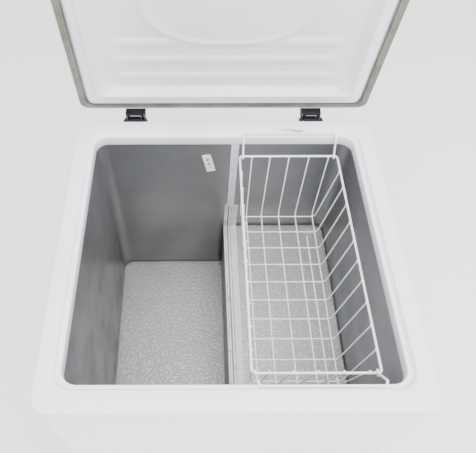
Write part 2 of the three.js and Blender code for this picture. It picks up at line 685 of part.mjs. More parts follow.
// back of the bracket, full width below the arms and as wide as the tongue behind the spring
const bracketBack = [
  [HINGE_Y - 6.4, 543],
  [HINGE_Y - 4.4, 541],
  [HINGE_Y + 9.4, 611],
  [HINGE_Y + 7.2, 611],
];
const springGuard = [
  [HINGE_Y + 7.2, 606],
  [HINGE_Y + 9.4, 606],
  [HINGE_Y + 9.4, HINGE_Z + 13.2],
  [HINGE_Y + 7.2, HINGE_Z + 13.2],
];
const hingeHole = (x) => rod(x - 40, HINGE_Y, HINGE_Z, PIN + GAP, 80, 'x', 12);
for (const [side, x] of [['left', -HINGE_X], ['right', HINGE_X]]) {
  const half = HINGE_WIDTH / 2;
  const ear = [
    [WRAP_Y + GAP, 522],
    [WRAP_Y + 14, 540],
    [HINGE_Y + 9, HINGE_Z - 8],
    [HINGE_Y + 8, HINGE_Z + 6],
    [HINGE_Y - 2, HINGE_Z + 9],
    [HINGE_Y - 12, HINGE_Z + 4],
    [HINGE_Y - 13, 614],
    [WRAP_Y + GAP, 614],
  ];
  const body = add(
    block(x - half, x + half, WRAP_Y + GAP, WRAP_Y + 2.6, 500, 615),
    profileAlongX(ear, x - half, x - half + EAR),
    profileAlongX(ear, x + half - EAR, x + half),
    block(x - half, x + half, WRAP_Y + GAP, HINGE_Y - 9, 600, 603),
    profileAlongX(stem, x - STEM_HALF, x + STEM_HALF),
    profileAlongX(bracketBack, x - half, x + half),
    profileAlongX(springGuard, x - STEM_HALF, x + STEM_HALF),
  );
  part(`hinge_body_${side}`, cut(body, hingeHole(x)), 'black');
  part(`hinge_pin_${side}`, add(
    rod(x - half - 2, HINGE_Y, HINGE_Z, PIN, HINGE_WIDTH + 4, 'x', 12),
    rod(x - half - 3.4, HINGE_Y, HINGE_Z, 5, 3, 'x', 12),
    rod(x + half + 0.4, HINGE_Y, HINGE_Z, 5, 3, 'x', 12),
  ), 'steel');

  const coil = [];
  const TURNS = 5;
  const PER_TURN = 6;
  for (let i = 0; i <= TURNS * PER_TURN; i += 1) {
    const angle = (i / PER_TURN) * 2 * Math.PI;
    coil.push([
      x - 12 + 24 * i / (TURNS * PER_TURN),
      HINGE_Y + 5.6 * Math.cos(angle),
      HINGE_Z + 5.6 * Math.sin(angle),
    ]);
  }
  const legTop = HINGE_Z + 12.4;
  coil.push(
    [x + 12, HINGE_Y + 5.6, legTop - 2.5],
    [x + 9.5, HINGE_Y + 5.6, legTop],
    [x - 12, HINGE_Y + 5.6, legTop],
  );
  part(`hinge_spring_${side}`, wire(coil, 2, 4), 'steel');

  // leaf on the lid, drawn with the lid shut: two arms on the pin and a plate on the lid's rear edge
  const arm = [
    [HINGE_Y - 7, HINGE_Z - 4],
    [HINGE_Y + 3, HINGE_Z - 7],
    [HINGE_Y + 8, HINGE_Z],
    [HINGE_Y + 5, HINGE_Z + 14],
    [DEPTH / 2 + 3, 664],
    [DEPTH / 2 + GAP, 664],
    [DEPTH / 2 + GAP, 646],
    [HINGE_Y - 9, HINGE_Z + 6],
  ];
  const leaf = add(
    block(x - half + EAR + 1, x + half - EAR - 1, DEPTH / 2 + GAP, DEPTH / 2 + 2.8, LEAF_FOOT, 694),
    profileAlongX(arm, x - half + EAR + 1, x - half + EAR + 3.6),
    profileAlongX(arm, x + half - EAR - 3.6, x + half - EAR - 1),
  );
  part(`hinge_leaf_${side}`, cut(leaf, hingeHole(x)), 'black', lid);
}

// ---------------------------------------------------------------- lid, drawn shut

const LID_SEAT = RIM_TOP + GAP + GASKET;

// the liner's crest round the panel: [distances in from the side, back and front edges, height]
const bulge = [
  [3, 3, 3, LID_SEAT + GAP],
  [18, 16.5, 18, LID_SEAT + GAP],
  [21, 18.5, 24, RIM_TOP + 4],
  [33, 37, 45, RIM_TOP + 1.5],
  [40.5, 47.5, 55, RIM_TOP - 1.5],
  [45, 59, 67, LID_CREST + 2.5],
  [47, 61.5, 69, LID_CREST],
  [50.5, 65, 73, LID_CREST + 1],
  [64, 76, 85, LID_PANEL],
];

function lidCore(raised, top) {
  const rings = bulge.map(([side, back, front, z]) => outline(
    { side, back, front },
    Math.max(CORNER - side * 0.12, 12) + 4,
    z + raised,
    3,
  ));
  return loft([outline(3, CORNER + 3.6, top, 3), ...rings]);
}
const SKIN_FOOT = RIM_TOP + 7;
const lidShell = loft([
  outline(9, CORNER, LID_TOP, 3),
  outline(3, CORNER, LID_TOP - 2, 3),
  outline(0.8, CORNER, LID_TOP - 6, 3),
  outline(0, CORNER, LID_TOP - 12, 3),
  outline(0, CORNER, SKIN_FOOT, 3),
]);
const lidHollow = loft([
  outline(9, CORNER - 1, LID_TOP - SHEET, 3),
  outline(3.8, CORNER - 1, LID_TOP - 3.2, 3),
  outline(2, CORNER - 1, LID_TOP - 7, 3),
  outline(SHEET, CORNER - 1, LID_TOP - 13, 3),
  outline(SHEET, CORNER - 1, SKIN_FOOT - 1, 3),
]);
part('lid_skin', cut(lidShell, lidHollow), 'whitePaint', lid);

// cross beads at both ends of the panel and a large oval pad between them
const PANEL_MIDDLE = 4.5;
const BEADS = [195.5, 152.5, 109.5];
const BEAD_HALF = 217;
const beadPlaces = BEADS.flatMap((offset) => [PANEL_MIDDLE - offset, PANEL_MIDDLE + offset]);
const beads = beadPlaces.map((y) => profileAlongX([
  [y - 12, LID_PANEL + 1],
  [y - 8, LID_PANEL - 3.4],
  [y + 8, LID_PANEL - 3.4],
  [y + 12, LID_PANEL + 1],
], -BEAD_HALF, BEAD_HALF));
const PAD = { x: 162, y: 114, exponent: 2.5, drop: 6.8, points: 40 };
const padOutline = Array.from({ length: PAD.points }, (_, i) => {
  const angle = 2 * Math.PI * i / PAD.points;
  const bend = (value) => Math.sign(value) * Math.abs(value) ** (2 / PAD.exponent);
  return [PAD.x * bend(Math.cos(angle)), PANEL_MIDDLE + PAD.y * bend(Math.sin(angle))];
});
const pad = plate(padOutline, LID_PANEL - PAD.drop, LID_PANEL + 1);
const linerShell = cut(lidCore(0, LID_SEAT + 6), lidCore(2, LID_SEAT + 30));
part('lid_liner', add(linerShell, ...beads, pad), 'whitePlastic', lid);
part('lid_foam', lidCore(2 + GAP, LID_TOP - 14), 'foam', lid);

// the seal: [distances in from the side, back and front edges, height]
const gasketSections = [
  [2.5, 10.8, 2.5, LID_SEAT],
  [4.5, 11.4, 4.5, RIM_TOP + 1.5],
  [6, 12, 6, RIM_TOP + GAP],
  [15, 14, 15, RIM_TOP + GAP],
  [16.5, 14.6, 16.5, RIM_TOP + 1.5],
  [17, 15.4, 17, LID_SEAT],
];
part('lid_gasket', loft(gasketSections.map(([side, back, front, z]) => outline(
  { side, back, front },
  CORNER,
  z,
  3,
)), true), 'gasket', lid);

const LID_FRONT = -DEPTH / 2;
const gripSection = [
  [LID_FRONT - GAP, 652],
  [LID_FRONT - GAP, 692],
  [LID_FRONT - 12, 690],
  [LID_FRONT - 22, 682],
  [LID_FRONT - 24, 664],
  [LID_FRONT - 20, 656],
  [LID_FRONT - 17, 658],
  [LID_FRONT - 16, 672],
  [LID_FRONT - 4, 674],
  [LID_FRONT - 3, 652],
];
part('lid_handle', profileAlongX(gripSection, -GRIP_HALF, GRIP_HALF), 'whitePlastic', lid);
part('lock_housing', cut(
  turned([[0, GAP], [15, GAP], [13.5, 5], [0, 5]], LOCK_X, LID_FRONT, LOCK_Z, '-y', 16),
  rod(LOCK_X, LID_FRONT - 8, LOCK_Z, 7, 10, 'y', 12),
), 'steel', lid);
part('lock_cylinder', cut(
  turned([[0, GAP], [6.6, GAP], [6.6, 6], [0, 6]], LOCK_X, LID_FRONT, LOCK_Z, '-y', 12),
  block(LOCK_X - 0.8, LOCK_X + 0.8, LID_FRONT - 8, LID_FRONT - 3, LOCK_Z - 4, LOCK_Z + 4),
), 'steel', lid);

// ---------------------------------------------------------------- basket

const mix = (a, b, t) => a + (b - a) * t;
const frameLoop = [
  [BASKET.left + 15, BASKET.front],
  [BASKET.right - 4, BASKET.front],
  [BASKET.right - 1, BASKET.front + 1],
  [BASKET.right, BASKET.front + 4],
  [BASKET.right, BASKET.back - 4],
  [BASKET.right - 1, BASKET.back - 1],
  [BASKET.right - 4, BASKET.back],
  [BASKET.left + 4, BASKET.back],
  [BASKET.left + 1, BASKET.back - 1],
  [BASKET.left, BASKET.back - 4],
  [BASKET.left, BASKET.front + 4],
  [BASKET.left + 1, BASKET.front + 1],
  [BASKET.left + 4, BASKET.front],
  [BASKET.left + 14.6, BASKET.front],
].map(([x, y]) => [x, y, BASKET.top]);
const basketWires = [
  wire(frameLoop, FRAME_WIRE, 6),
  rod(BASKET.left + 10, BASKET.front, BASKET.top, FRAME_WIRE / 2 + 0.35, 12, 'x', 8),
];
for (let i = 0; i < HOOPS; i += 1) {
  const y = mix(BASKET_FLOOR.front, BASKET_FLOOR.back, i / (HOOPS - 1));
  basketWires.push(wire([
    [BASKET.left + 1, y, BASKET.top],
    [BASKET_FLOOR.left, y, BASKET_FLOOR.z + 8],
    [BASKET_FLOOR.left + 2.5, y, BASKET_FLOOR.z + 2.5],
    [BASKET_FLOOR.left + 8, y, BASKET_FLOOR.z],
    [BASKET_FLOOR.right - 12, y, BASKET_FLOOR.z],
    [BASKET_FLOOR.right - 4, y, BASKET_FLOOR.z + 3],
    [BASKET_FLOOR.right, y, BASKET_FLOOR.z + 10],
    [BASKET.right - 1, y, BASKET.top],
  ], THIN_WIRE, 4));
}
const LONG_Z = BASKET_FLOOR.z - THIN_WIRE * 0.6;
const frontRise = (topX, floorX) => [
  [floorX, BASKET_FLOOR.front + 3, LONG_Z],
  [floorX, BASKET_FLOOR.front - 5, LONG_Z + 8],
  [topX, BASKET.front, BASKET.top],
];
for (const [topX, floorX] of LONG_WIRES) {
  basketWires.push(wire([
    [topX, BASKET.back, BASKET.top],
    [floorX, BASKET_FLOOR.back + 5, LONG_Z + 8],
    [floorX, BASKET_FLOOR.back - 3, LONG_Z],
    ...frontRise(topX, floorX),
  ], THIN_WIRE, 4));
}
basketWires.push(wire([
  [SHORT_WIRE.floorX, SHORT_WIRE.end, LONG_Z],
  ...frontRise(SHORT_WIRE.topX, SHORT_WIRE.floorX),
], THIN_WIRE, 4));
part('basket', basketWires.reduce((whole, piece) => whole.add(piece)), 'coatedWire');

// bail: an eye round the frame wire on each side, two arms and a bar that lies in the ledge
const BAIL_WIRE = 4.4;
const SHOULDER_Z = RIM_TOP - LEDGE_DROP + GAP + BAIL_WIRE / 2;
const SHOULDER_IN = 5;
const FRONT_BAR = { y: -DEPTH / 2 + 40.85, z: SHOULDER_Z };
const REAR_BAR = { y: DEPTH / 2 - 32.7, z: SHOULDER_Z + 1.5 };
function bail(wireY, shoulderY, bar) {
  const arm = (x, inwards) => [
    [x, mix(wireY, shoulderY, 0.12), mix(BASKET.top, SHOULDER_Z, 0.12)],
    [x, shoulderY, SHOULDER_Z],
    [x, mix(shoulderY, bar.y, 0.6), mix(SHOULDER_Z, bar.z, 0.6)],
    [x + inwards * 3, bar.y, bar.z],
  ];
  const path = [...arm(BAIL_LEFT, 1), ...arm(BAIL_RIGHT, -1).reverse()];
  const ring = [[2.9, -2.2], [5.4, -2.2], [5.4, 2.2], [2.9, 2.2], [2.9, -2.2]];
  const eye = (x) => turned(ring, x, wireY, BASKET.top, 'x', 10);
  return add(wire(path, BAIL_WIRE, 6), eye(BAIL_LEFT), eye(BAIL_RIGHT));
}
const frontBail = bail(BASKET.front, -DEPTH / 2 + LIP.front + SHOULDER_IN, FRONT_BAR);
const rearBail = bail(BASKET.back, DEPTH / 2 - LIP.back - SHOULDER_IN, REAR_BAR);
part('basket_handle_front', frontBail, 'coatedWire');
part('basket_handle_rear', rearBail, 'coatedWire');

// ---------------------------------------------------------------- assembly

// the lid swings about its hinge pins and stands open
const lidPivot = new THREE.Group();
lidPivot.position.set(0, HINGE_Y, HINGE_Z);
lidPivot.rotation.x = -THREE.MathUtils.degToRad(LID_OPEN);
lid.position.set(0, -HINGE_Y, -HINGE_Z);
lidPivot.add(lid);
freezer.add(lidPivot);

// origin: on the floor, under the middle of the whole freezer with its lid open
const assembly = new THREE.Group();
assembly.add(freezer);
assembly.updateMatrixWorld(true);
const extent = new THREE.Box3().setFromObject(freezer, true);
freezer.position.y = -(extent.min.y + extent.max.y) / 2;

export default assembly;
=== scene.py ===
import json
import math

import bmesh
import bpy
from mathutils import Matrix, Vector, noise


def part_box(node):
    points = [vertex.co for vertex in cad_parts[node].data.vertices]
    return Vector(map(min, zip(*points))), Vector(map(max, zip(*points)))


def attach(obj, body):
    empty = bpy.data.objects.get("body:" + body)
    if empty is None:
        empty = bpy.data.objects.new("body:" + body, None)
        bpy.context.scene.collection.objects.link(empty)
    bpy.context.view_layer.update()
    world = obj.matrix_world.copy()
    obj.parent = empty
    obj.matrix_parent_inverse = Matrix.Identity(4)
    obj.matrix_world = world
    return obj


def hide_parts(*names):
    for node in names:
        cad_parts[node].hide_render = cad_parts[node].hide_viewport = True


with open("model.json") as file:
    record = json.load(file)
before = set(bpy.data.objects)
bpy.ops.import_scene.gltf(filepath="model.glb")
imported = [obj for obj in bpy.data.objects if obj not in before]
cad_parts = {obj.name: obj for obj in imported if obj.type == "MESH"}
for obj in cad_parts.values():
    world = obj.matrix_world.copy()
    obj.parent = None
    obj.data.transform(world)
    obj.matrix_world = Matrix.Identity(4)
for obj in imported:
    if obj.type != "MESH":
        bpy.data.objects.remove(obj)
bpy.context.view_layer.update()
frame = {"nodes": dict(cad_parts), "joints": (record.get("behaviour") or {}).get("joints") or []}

# ---------------------------------------------------------------- places taken from the frame

MM = 0.001
RIM_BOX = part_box("top_frame")
ORIGIN = Vector((0, (RIM_BOX[0].y + RIM_BOX[1].y) / 2, 0))
HINGE = next(joint for joint in frame["joints"] if joint["name"] == "lid_hinge")
PIVOT = Vector(HINGE["pos_m"])
TO_OPEN = (
    Matrix.Translation(PIVOT)
    @ Matrix.Rotation(-math.radians(HINGE["range_deg"][1]), 4, "X")
    @ Matrix.Translation(-PIVOT)
)


def span(node, shut=False):
    """Lowest and highest corner of a CAD node, in millimetres; a lid node can be read shut."""
    turn = TO_OPEN.inverted() if shut else Matrix()
    corners = [(turn @ v.co - ORIGIN) / MM for v in frame["nodes"][node].data.vertices]
    low = Vector([min(c[axis] for c in corners) for axis in range(3)])
    high = Vector([max(c[axis] for c in corners) for axis in range(3)])
    return low, high


def centre_of(node, shut=False):
    low, high = span(node, shut)
    return (low + high) / 2


RIM = span("top_frame")
WRAP = span("outer_wrap")
WALLS = span("liner_walls")
BASE = span("liner_base")
TRIM = span("step_edge_trim")
BASKET = span("basket")
LID = span("lid_skin", shut=True)
GASKET = span("lid_gasket", shut=True)
HINGE_Y = (PIVOT.y - ORIGIN.y) / MM
HINGE_Z = PIVOT.z / MM

HALF_WIDTH = RIM[1].x
HALF_DEPTH = RIM[1].y
RIM_TOP = RIM[1].z
CORNER = 22
SHEET = 1.2
WELL_FLOOR = BASE[0].z + 2
STEP_TOP = BASE[1].z
STEP_X = TRIM[0].x + 1.6
LEDGE_TOP = RIM_TOP - 8
LINER_EDGE = WALLS[1].z
LINER_TOP = (35.6, 36.6, 41.8)
LINER_FOOT = (45.5, 36.9, 49.0)
LINER_CORNER = 25

# ---------------------------------------------------------------- the camera

CAMERA_PLACE = (-58.5, -529.6, 1439.5)
CAMERA_DOWN = 54.98
CAMERA_YAW = 0.057
CAMERA_ROLL = -0.097
CAMERA_LENS = 39.99
CAMERA_SHIFT = 0.0862


def set_camera():
    data = bpy.data.cameras.new("camera")
    data.lens = CAMERA_LENS
    data.sensor_width = 36
    data.shift_x = CAMERA_SHIFT
    camera = bpy.data.objects.new("camera", data)
    camera.matrix_world = (
        Matrix.Translation(Vector(CAMERA_PLACE) * MM + ORIGIN)
        @ Matrix.Rotation(-math.radians(CAMERA_YAW), 4, "Z")
        @ Matrix.Rotation(math.radians(90 - CAMERA_DOWN), 4, "X")
        @ Matrix.Rotation(math.radians(CAMERA_ROLL), 4, "Z")
    )
    bpy.context.scene.collection.objects.link(camera)
    bpy.context.scene.camera = camera


set_camera()

# ---------------------------------------------------------------- shapes


class Work:
    """Points and faces gathered for one piece."""

    def __init__(self):
        self.points = []
        self.faces = []

    def take(self, shape, turn=None):
        points, faces = shape
        first = len(self.points)
        self.points += [turn @ Vector(p) if turn else Vector(p) for p in points]
        self.faces += [[first + i for i in face] for face in faces]
        return self


def make(name, shape, finish, body="cabinet", slot=None, replaces=(), smooth=35, lid=False):
    """A piece from a shape, or from a Work of several, riding on a body."""
    points, faces = (shape.points, shape.faces) if isinstance(shape, Work) else shape
    mesh = bpy.data.meshes.new(name)
    mesh.from_pydata([Vector(p) * MM + ORIGIN for p in points], [], faces)
    if lid:
        mesh.transform(TO_OPEN)
    build = bmesh.new()
    build.from_mesh(mesh)
    bmesh.ops.recalc_face_normals(build, faces=build.faces)
    build.to_mesh(mesh)
    build.free()
    mesh.shade_smooth()
    mesh.set_sharp_from_angle(angle=math.radians(smooth))
    mesh.materials.append(finish)
    piece = bpy.data.objects.new(name, mesh)
    bpy.context.scene.collection.objects.link(piece)
    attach(piece, body)
    if replaces:
        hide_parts(*replaces)
    return piece


def soften(piece, width, segments=2, angle=30):
    """Small round on every hard edge."""
    bevel = piece.modifiers.new("edge", "BEVEL")
    bevel.width = width * MM
    bevel.segments = segments
    bevel.limit_method = "ANGLE"
    bevel.angle_limit = math.radians(angle)
    bevel.harden_normals = True
    return piece


def thicken(piece, thickness, offset=-1):
    """Gives a sheet its thickness behind the face that was drawn."""
    solid = piece.modifiers.new("thickness", "SOLIDIFY")
    solid.thickness = thickness * MM
    solid.offset = offset
    return piece


def mix(a, b, t):
    return a + (b - a) * t


def ease(t):
    t = min(max(t, 0), 1)
    return t * t * (3 - 2 * t)


def bent(points, radius, steps=5, closed=False):
    """The same line with a round bend at each corner; works on points of any size."""
    points = [Vector(p) for p in points]
    count = len(points)
    line = [] if closed else [points[0]]
    for i in range(0 if closed else 1, count if closed else count - 1):
        before, corner, after = points[i - 1], points[i], points[(i + 1) % count]
        run_in, run_out = before - corner, after - corner
        reach = min(radius, run_in.length * 0.48, run_out.length * 0.48)
        start = corner + run_in.normalized() * reach
        end = corner + run_out.normalized() * reach
        for step in range(steps + 1):
            t = step / steps
            line.append(start * (1 - t) ** 2 + corner * 2 * t * (1 - t) + end * t * t)
    return line if closed else line + [points[-1]]


def loft(rings, ringed=False, capped=True):
    """Skin through rings of equal count; ringed joins the last to the first."""
    count = len(rings[0])
    points = [p for ring in rings for p in ring]
    faces = []
    for r in range(len(rings) if ringed else len(rings) - 1):
        a = r * count
        b = (r + 1) % len(rings) * count
        for i in range(count):
            j = (i + 1) % count
            faces.append([a + i, b + i, b + j, a + j])
    if capped and not ringed:
        faces.append(list(range(count)))
        faces.append(list(range((len(rings) - 1) * count, len(rings) * count))[::-1])
    return points, faces


def outline(inset, radius, z, steps=12):
    """One level outline of the cabinet, moved in by (side, back, front) from its outer faces."""
    side, back, front = inset
    x = HALF_WIDTH - side - radius
    y_back = HALF_DEPTH - back - radius
    y_front = -HALF_DEPTH + front + radius
    ring = []
    for corner, (cx, cy) in enumerate([(x, y_back), (-x, y_back), (-x, y_front), (x, y_front)]):
        for i in range(steps + 1):
            angle = (corner + i / steps) * math.pi / 2
            ring.append((cx + radius * math.cos(angle), cy + radius * math.sin(angle), z))
    return ring


def tube(path, radius, sides=10, closed=False):
    """Round wire or pipe along a line."""
    path = [Vector(p) for p in path]
    count = len(path)
    angles = [2 * math.pi * k / sides for k in range(sides)]
    rings = []
    side = None
    for i, point in enumerate(path):
        before = path[i - 1] if i or closed else point
        after = path[(i + 1) % count] if i < count - 1 or closed else point
        along = (after - before).normalized()
        if side is None:
            side = along.orthogonal().normalized()
        side = (side - along * side.dot(along)).normalized()
        up = along.cross(side)
        rings.append([point + (side * math.cos(a) + up * math.sin(a)) * radius for a in angles])
    if not closed:
        return loft(rings)
    points, faces = loft(rings, capped=False)
    first, last = rings[0], rings[-1]
    shift = min(range(sides), key=lambda k: (last[k] - first[0]).length)
    base = (count - 1) * sides
    for k in range(sides):
        a, b = base + (k + shift) % sides, base + (k + 1 + shift) % sides
        faces.append([a, k, (k + 1) % sides, b])
    return points, faces


AXES = {
    "x": Matrix.Rotation(math.pi / 2, 4, "Y"),
    "y": Matrix.Rotation(-math.pi / 2, 4, "X"),
    "-y": Matrix.Rotation(math.pi / 2, 4, "X"),
    "z": Matrix(),
}


def turned(profile, place, axis="z", sides=32):
    """Turned part: (radius, height) pairs along an axis from a place, closed on the axis or on itself."""
    put = Matrix.Translation(Vector(place)) @ AXES[axis]
    points, faces, rows = [], [], []
    for radius, height in profile:
        if radius < 1e-4:
            rows.append([len(points)])
            points.append(put @ Vector((0, 0, height)))
            continue
        rows.append(list(range(len(points), len(points) + sides)))
        for k in range(sides):
            angle = 2 * math.pi * k / sides
            points.append(put @ Vector((radius * math.cos(angle), radius * math.sin(angle), height)))
    for low, high in zip(rows, rows[1:]):
        for k in range(sides):
            j = (k + 1) % sides
            quad = [low[k % len(low)], low[j % len(low)], high[j % len(high)], high[k % len(high)]]
            faces.append(list(dict.fromkeys(quad)))
    return points, faces


def extruded(section, start, end, axis="x"):
    """Flat outline drawn across an axis, extended along it."""
    def at(a, b, along):
        return {"x": (along, a, b), "y": (a, along, b), "z": (a, b, along)}[axis]
    rings = [[at(a, b, along) for a, b in section] for along in (start, end)]
    return loft(rings)


def block(low, high):
    (x0, y0, z0), (x1, y1, z1) = low, high
    return extruded([(x0, y0), (x1, y0), (x1, y1), (x0, y1)], z0, z1, "z")


def sheet(across, up, place, is_open=None):
    """Grid of quads over two lists of stations, left out where is_open says so."""
    points = [place(a, b) for b in up for a in across]
    faces = []
    for j in range(len(up) - 1):
        for i in range(len(across) - 1):
            middle = ((across[i] + across[i + 1]) / 2, (up[j] + up[j + 1]) / 2)
            if is_open and is_open(*middle):
                continue
            a = j * len(across) + i
            faces.append([a, a + 1, a + len(across) + 1, a + len(across)])
    return points, faces


def stations(*stops, step):
    """Numbers from the first stop to the last, through every stop, no further apart than a step."""
    line = [stops[0]]
    for a, b in zip(stops, stops[1:]):
        parts = max(1, math.ceil((b - a) / step - 1e-6))
        line += [mix(a, b, (k + 1) / parts) for k in range(parts)]
    return line


def waviness(point, size, depth):
    """Slow unevenness of thin metal."""
    return depth * noise.noise(Vector(point) / size)


# ---------------------------------------------------------------- shared surface effects


def effect(name, inputs, outputs, build):
    """Shader node group with named inputs and outputs."""
    tree = bpy.data.node_groups.new(name, "ShaderNodeTree")
    for label, kind, value in inputs:
        socket = tree.interface.new_socket(label, in_out="INPUT", socket_type="NodeSocket" + kind)
        socket.default_value = value
    for label, kind in outputs:
        tree.interface.new_socket(label, in_out="OUTPUT", socket_type="NodeSocket" + kind)
    given = tree.nodes.new("NodeGroupInput")
    result = tree.nodes.new("NodeGroupOutput")
    build(tree, given.outputs, result.inputs)
    return tree


def node(tree, kind, links=None, **settings):
    """New node; links maps input names or numbers to sockets or values."""
    made = tree.nodes.new("ShaderNode" + kind)
    for key, value in settings.items():
        setattr(made, key, value)
    for key, value in (links or {}).items():
        if isinstance(value, bpy.types.NodeSocket):
            tree.links.new(value, made.inputs[key])
        else:
            made.inputs[key].default_value = value
    return made


def spread(tree, value, low, high, to=(0.0, 1.0)):
    """Value between low and high, eased to the two ends."""
    links = {"Value": value, "From Min": low, "From Max": high, "To Min": to[0], "To Max": to[1]}
    return node(tree, "MapRange", links, interpolation_type="SMOOTHSTEP").outputs["Result"]


def build_clouds(tree, given, result):
    where = node(tree, "TexCoord").outputs["Object"]
    stretched = node(tree, "VectorMath", {0: where, 1: given["Stretch"]}, operation="MULTIPLY")
    pattern = node(tree, "TexNoise", {
        "Vector": stretched.outputs[0],
        "Scale": given["Scale"],
        "Detail": given["Detail"],
        "Roughness": 0.55,
    })
    tree.links.new(spread(tree, pattern.outputs["Fac"], given["Low"], given["High"]), result["Mask"])


def build_flecks(tree, given, result):
    where = node(tree, "TexCoord").outputs["Object"]
    warp = node(tree, "TexNoise", {"Vector": where, "Scale": 60.0, "Detail": 2.0})
    bent_place = node(tree, "VectorMath", {0: warp.outputs["Color"], 1: (0.02, 0.02, 0.02), 2: where},
                      operation="MULTIPLY_ADD")
    cells = node(tree, "TexVoronoi", {"Vector": bent_place.outputs[0], "Scale": given["Scale"]})
    tree.links.new(spread(tree, cells.outputs["Distance"], given["Size"], 0.0), result["Mask"])


def build_stain_and_light_patch(tree, given, result):
    where = node(tree, "TexCoord").outputs["Object"]
    ragged = node(tree, "TexNoise", {"Vector": where, "Scale": given["Grain"], "Detail": 4.0})
    centred = node(tree, "VectorMath", {0: where, 1: given["Centre"]}, operation="SUBTRACT")
    scaled = node(tree, "VectorMath", {0: centred.outputs[0], 1: given["Reach"]}, operation="DIVIDE")
    distance = node(tree, "VectorMath", {0: scaled.outputs[0]}, operation="LENGTH")
    rough = node(tree, "Math", {0: ragged.outputs["Fac"], 1: 1.6, 2: distance.outputs["Value"]},
                 operation="MULTIPLY_ADD")
    tree.links.new(spread(tree, rough.outputs[0], 1.9, 1.0), result["Mask"])


def build_level(tree, given, result):
    where = node(tree, "TexCoord").outputs["Object"]
    along = node(tree, "VectorMath", {0: where, 1: given["Along"]}, operation="DOT_PRODUCT")
    tree.links.new(spread(tree, along.outputs["Value"], given["Low"], given["High"]), result["Mask"])


def build_stucco(tree, given, result):
    where = node(tree, "TexCoord").outputs["Object"]
    warp = node(tree, "TexNoise", {"Vector": where, "Scale": 35.0, "Detail": 3.0})
    moved = node(tree, "VectorMath", {0: warp.outputs["Color"], 1: (0.03, 0.03, 0.03), 2: where},
                 operation="MULTIPLY_ADD")
    cells = node(tree, "TexVoronoi", {"Vector": moved.outputs[0], "Scale": given["Scale"]},
                 feature="DISTANCE_TO_EDGE")
    leaf = spread(tree, cells.outputs["Distance"], 0.02, 0.22)
    fine = node(tree, "TexNoise", {"Vector": where, "Scale": 420.0, "Detail": 3.0})
    both = node(tree, "Math", {0: fine.outputs["Fac"], 1: 0.35, 2: leaf}, operation="MULTIPLY_ADD")
    tree.links.new(both.outputs[0], result["Height"])
    tree.links.new(leaf, result["Leaf"])


FLOAT, VECTOR = "Float", "Vector"
CLOUDS = effect("clouds", [
    ("Scale", FLOAT, 10.0),
    ("Detail", FLOAT, 4.0),
    ("Stretch", VECTOR, (1.0, 1.0, 1.0)),
    ("Low", FLOAT, 0.4),
    ("High", FLOAT, 0.6),
], [("Mask", FLOAT)], build_clouds)
FLECKS = effect("flecks", [("Scale", FLOAT, 200.0), ("Size", FLOAT, 0.2)], [("Mask", FLOAT)], build_flecks)
STAIN_AND_LIGHT_PATCH = effect("stain_and_light_patch", [
    ("Centre", VECTOR, (0.0, 0.0, 0.0)),
    ("Reach", VECTOR, (0.02, 0.02, 0.02)),
    ("Grain", FLOAT, 90.0),
], [("Mask", FLOAT)], build_stain_and_light_patch)
LEVEL = effect("level", [
    ("Along", VECTOR, (0.0, 0.0, 1.0)),
    ("Low", FLOAT, 0.0),
    ("High", FLOAT, 1.0),
], [("Mask", FLOAT)], build_level)
STUCCO = effect("stucco", [("Scale", FLOAT, 90.0)], [("Height", FLOAT), ("Leaf", FLOAT)], build_stucco)


def tone(red, green, blue):
    """A colour as the eye reads it, 0 to 255, in the light units that a shader takes."""
    def light(value):
        value /= 255
        return value / 12.92 if value <= 0.04045 else ((value + 0.055) / 1.055) ** 2.4
    return light(red), light(green), light(blue), 1.0


class Finish:
    """A material, built up from a base colour by tints, roughness and bumps."""

    def __init__(self, name, colour, roughness, metallic=0.0, coat=0.0):
        self.material = bpy.data.materials.new(name)
        self.material.use_nodes = True
        self.tree = self.material.node_tree
        self.skin = self.tree.nodes["Principled BSDF"]
        self.colour = colour
        self.skin.inputs["Base Color"].default_value = colour
        self.skin.inputs["Roughness"].default_value = roughness
        self.skin.inputs["Metallic"].default_value = metallic
        self.skin.inputs["Coat Weight"].default_value = coat
        self.normal = None

    def use(self, group, output="Mask", **inputs):
        return node(self.tree, "Group", inputs, node_tree=group).outputs[output]

    def clouds(self, scale, low=0.4, high=0.6, detail=4.0, stretch=(1.0, 1.0, 1.0)):
        return self.use(CLOUDS, Scale=scale, Low=low, High=high, Detail=detail, Stretch=stretch)

    # ragged round blotch: used for real stains and print marks, and for one painted highlight on the liner's
    # rear wall
    def stain_and_light_patch(self, place, reach, grain=90.0):
        centre = Vector(place) * MM + ORIGIN
        return self.use(STAIN_AND_LIGHT_PATCH, Centre=centre, Reach=Vector(reach) * MM, Grain=grain)

    def level(self, low, high, along=(0.0, 0.0, 1.0)):
        shift = Vector(along).dot(ORIGIN)
        return self.use(LEVEL, Low=low * MM + shift, High=high * MM + shift, Along=along)

    def times(self, mask, share):
        """A mask made weaker, or held in by another mask."""
        return node(self.tree, "Math", {0: mask, 1: share}, operation="MULTIPLY").outputs[0]

    def tint(self, mask, colour, share=1.0):
        blend = node(self.tree, "Mix", {"Factor": self.times(mask, share)}, data_type="RGBA")
        if isinstance(self.colour, bpy.types.NodeSocket):
            self.tree.links.new(self.colour, blend.inputs[6])
        else:
            blend.inputs[6].default_value = self.colour
        blend.inputs[7].default_value = colour
        self.colour = blend.outputs[2]
        self.tree.links.new(self.colour, self.skin.inputs["Base Color"])
        return self

    def rough(self, mask, low, high):
        self.tree.links.new(spread(self.tree, mask, 0.0, 1.0, (low, high)), self.skin.inputs["Roughness"])
        return self

    def bump(self, height, depth, strength=1.0):
        """Raises the surface by a depth in millimetres where the height is 1."""
        made = node(self.tree, "Bump", {"Height": height, "Distance": depth * MM, "Strength": strength})
        if self.normal:
            self.tree.links.new(self.normal, made.inputs["Normal"])
        self.normal = made.outputs["Normal"]
        self.tree.links.new(self.normal, self.skin.inputs["Normal"])
        return self


# ---------------------------------------------------------------- finishes

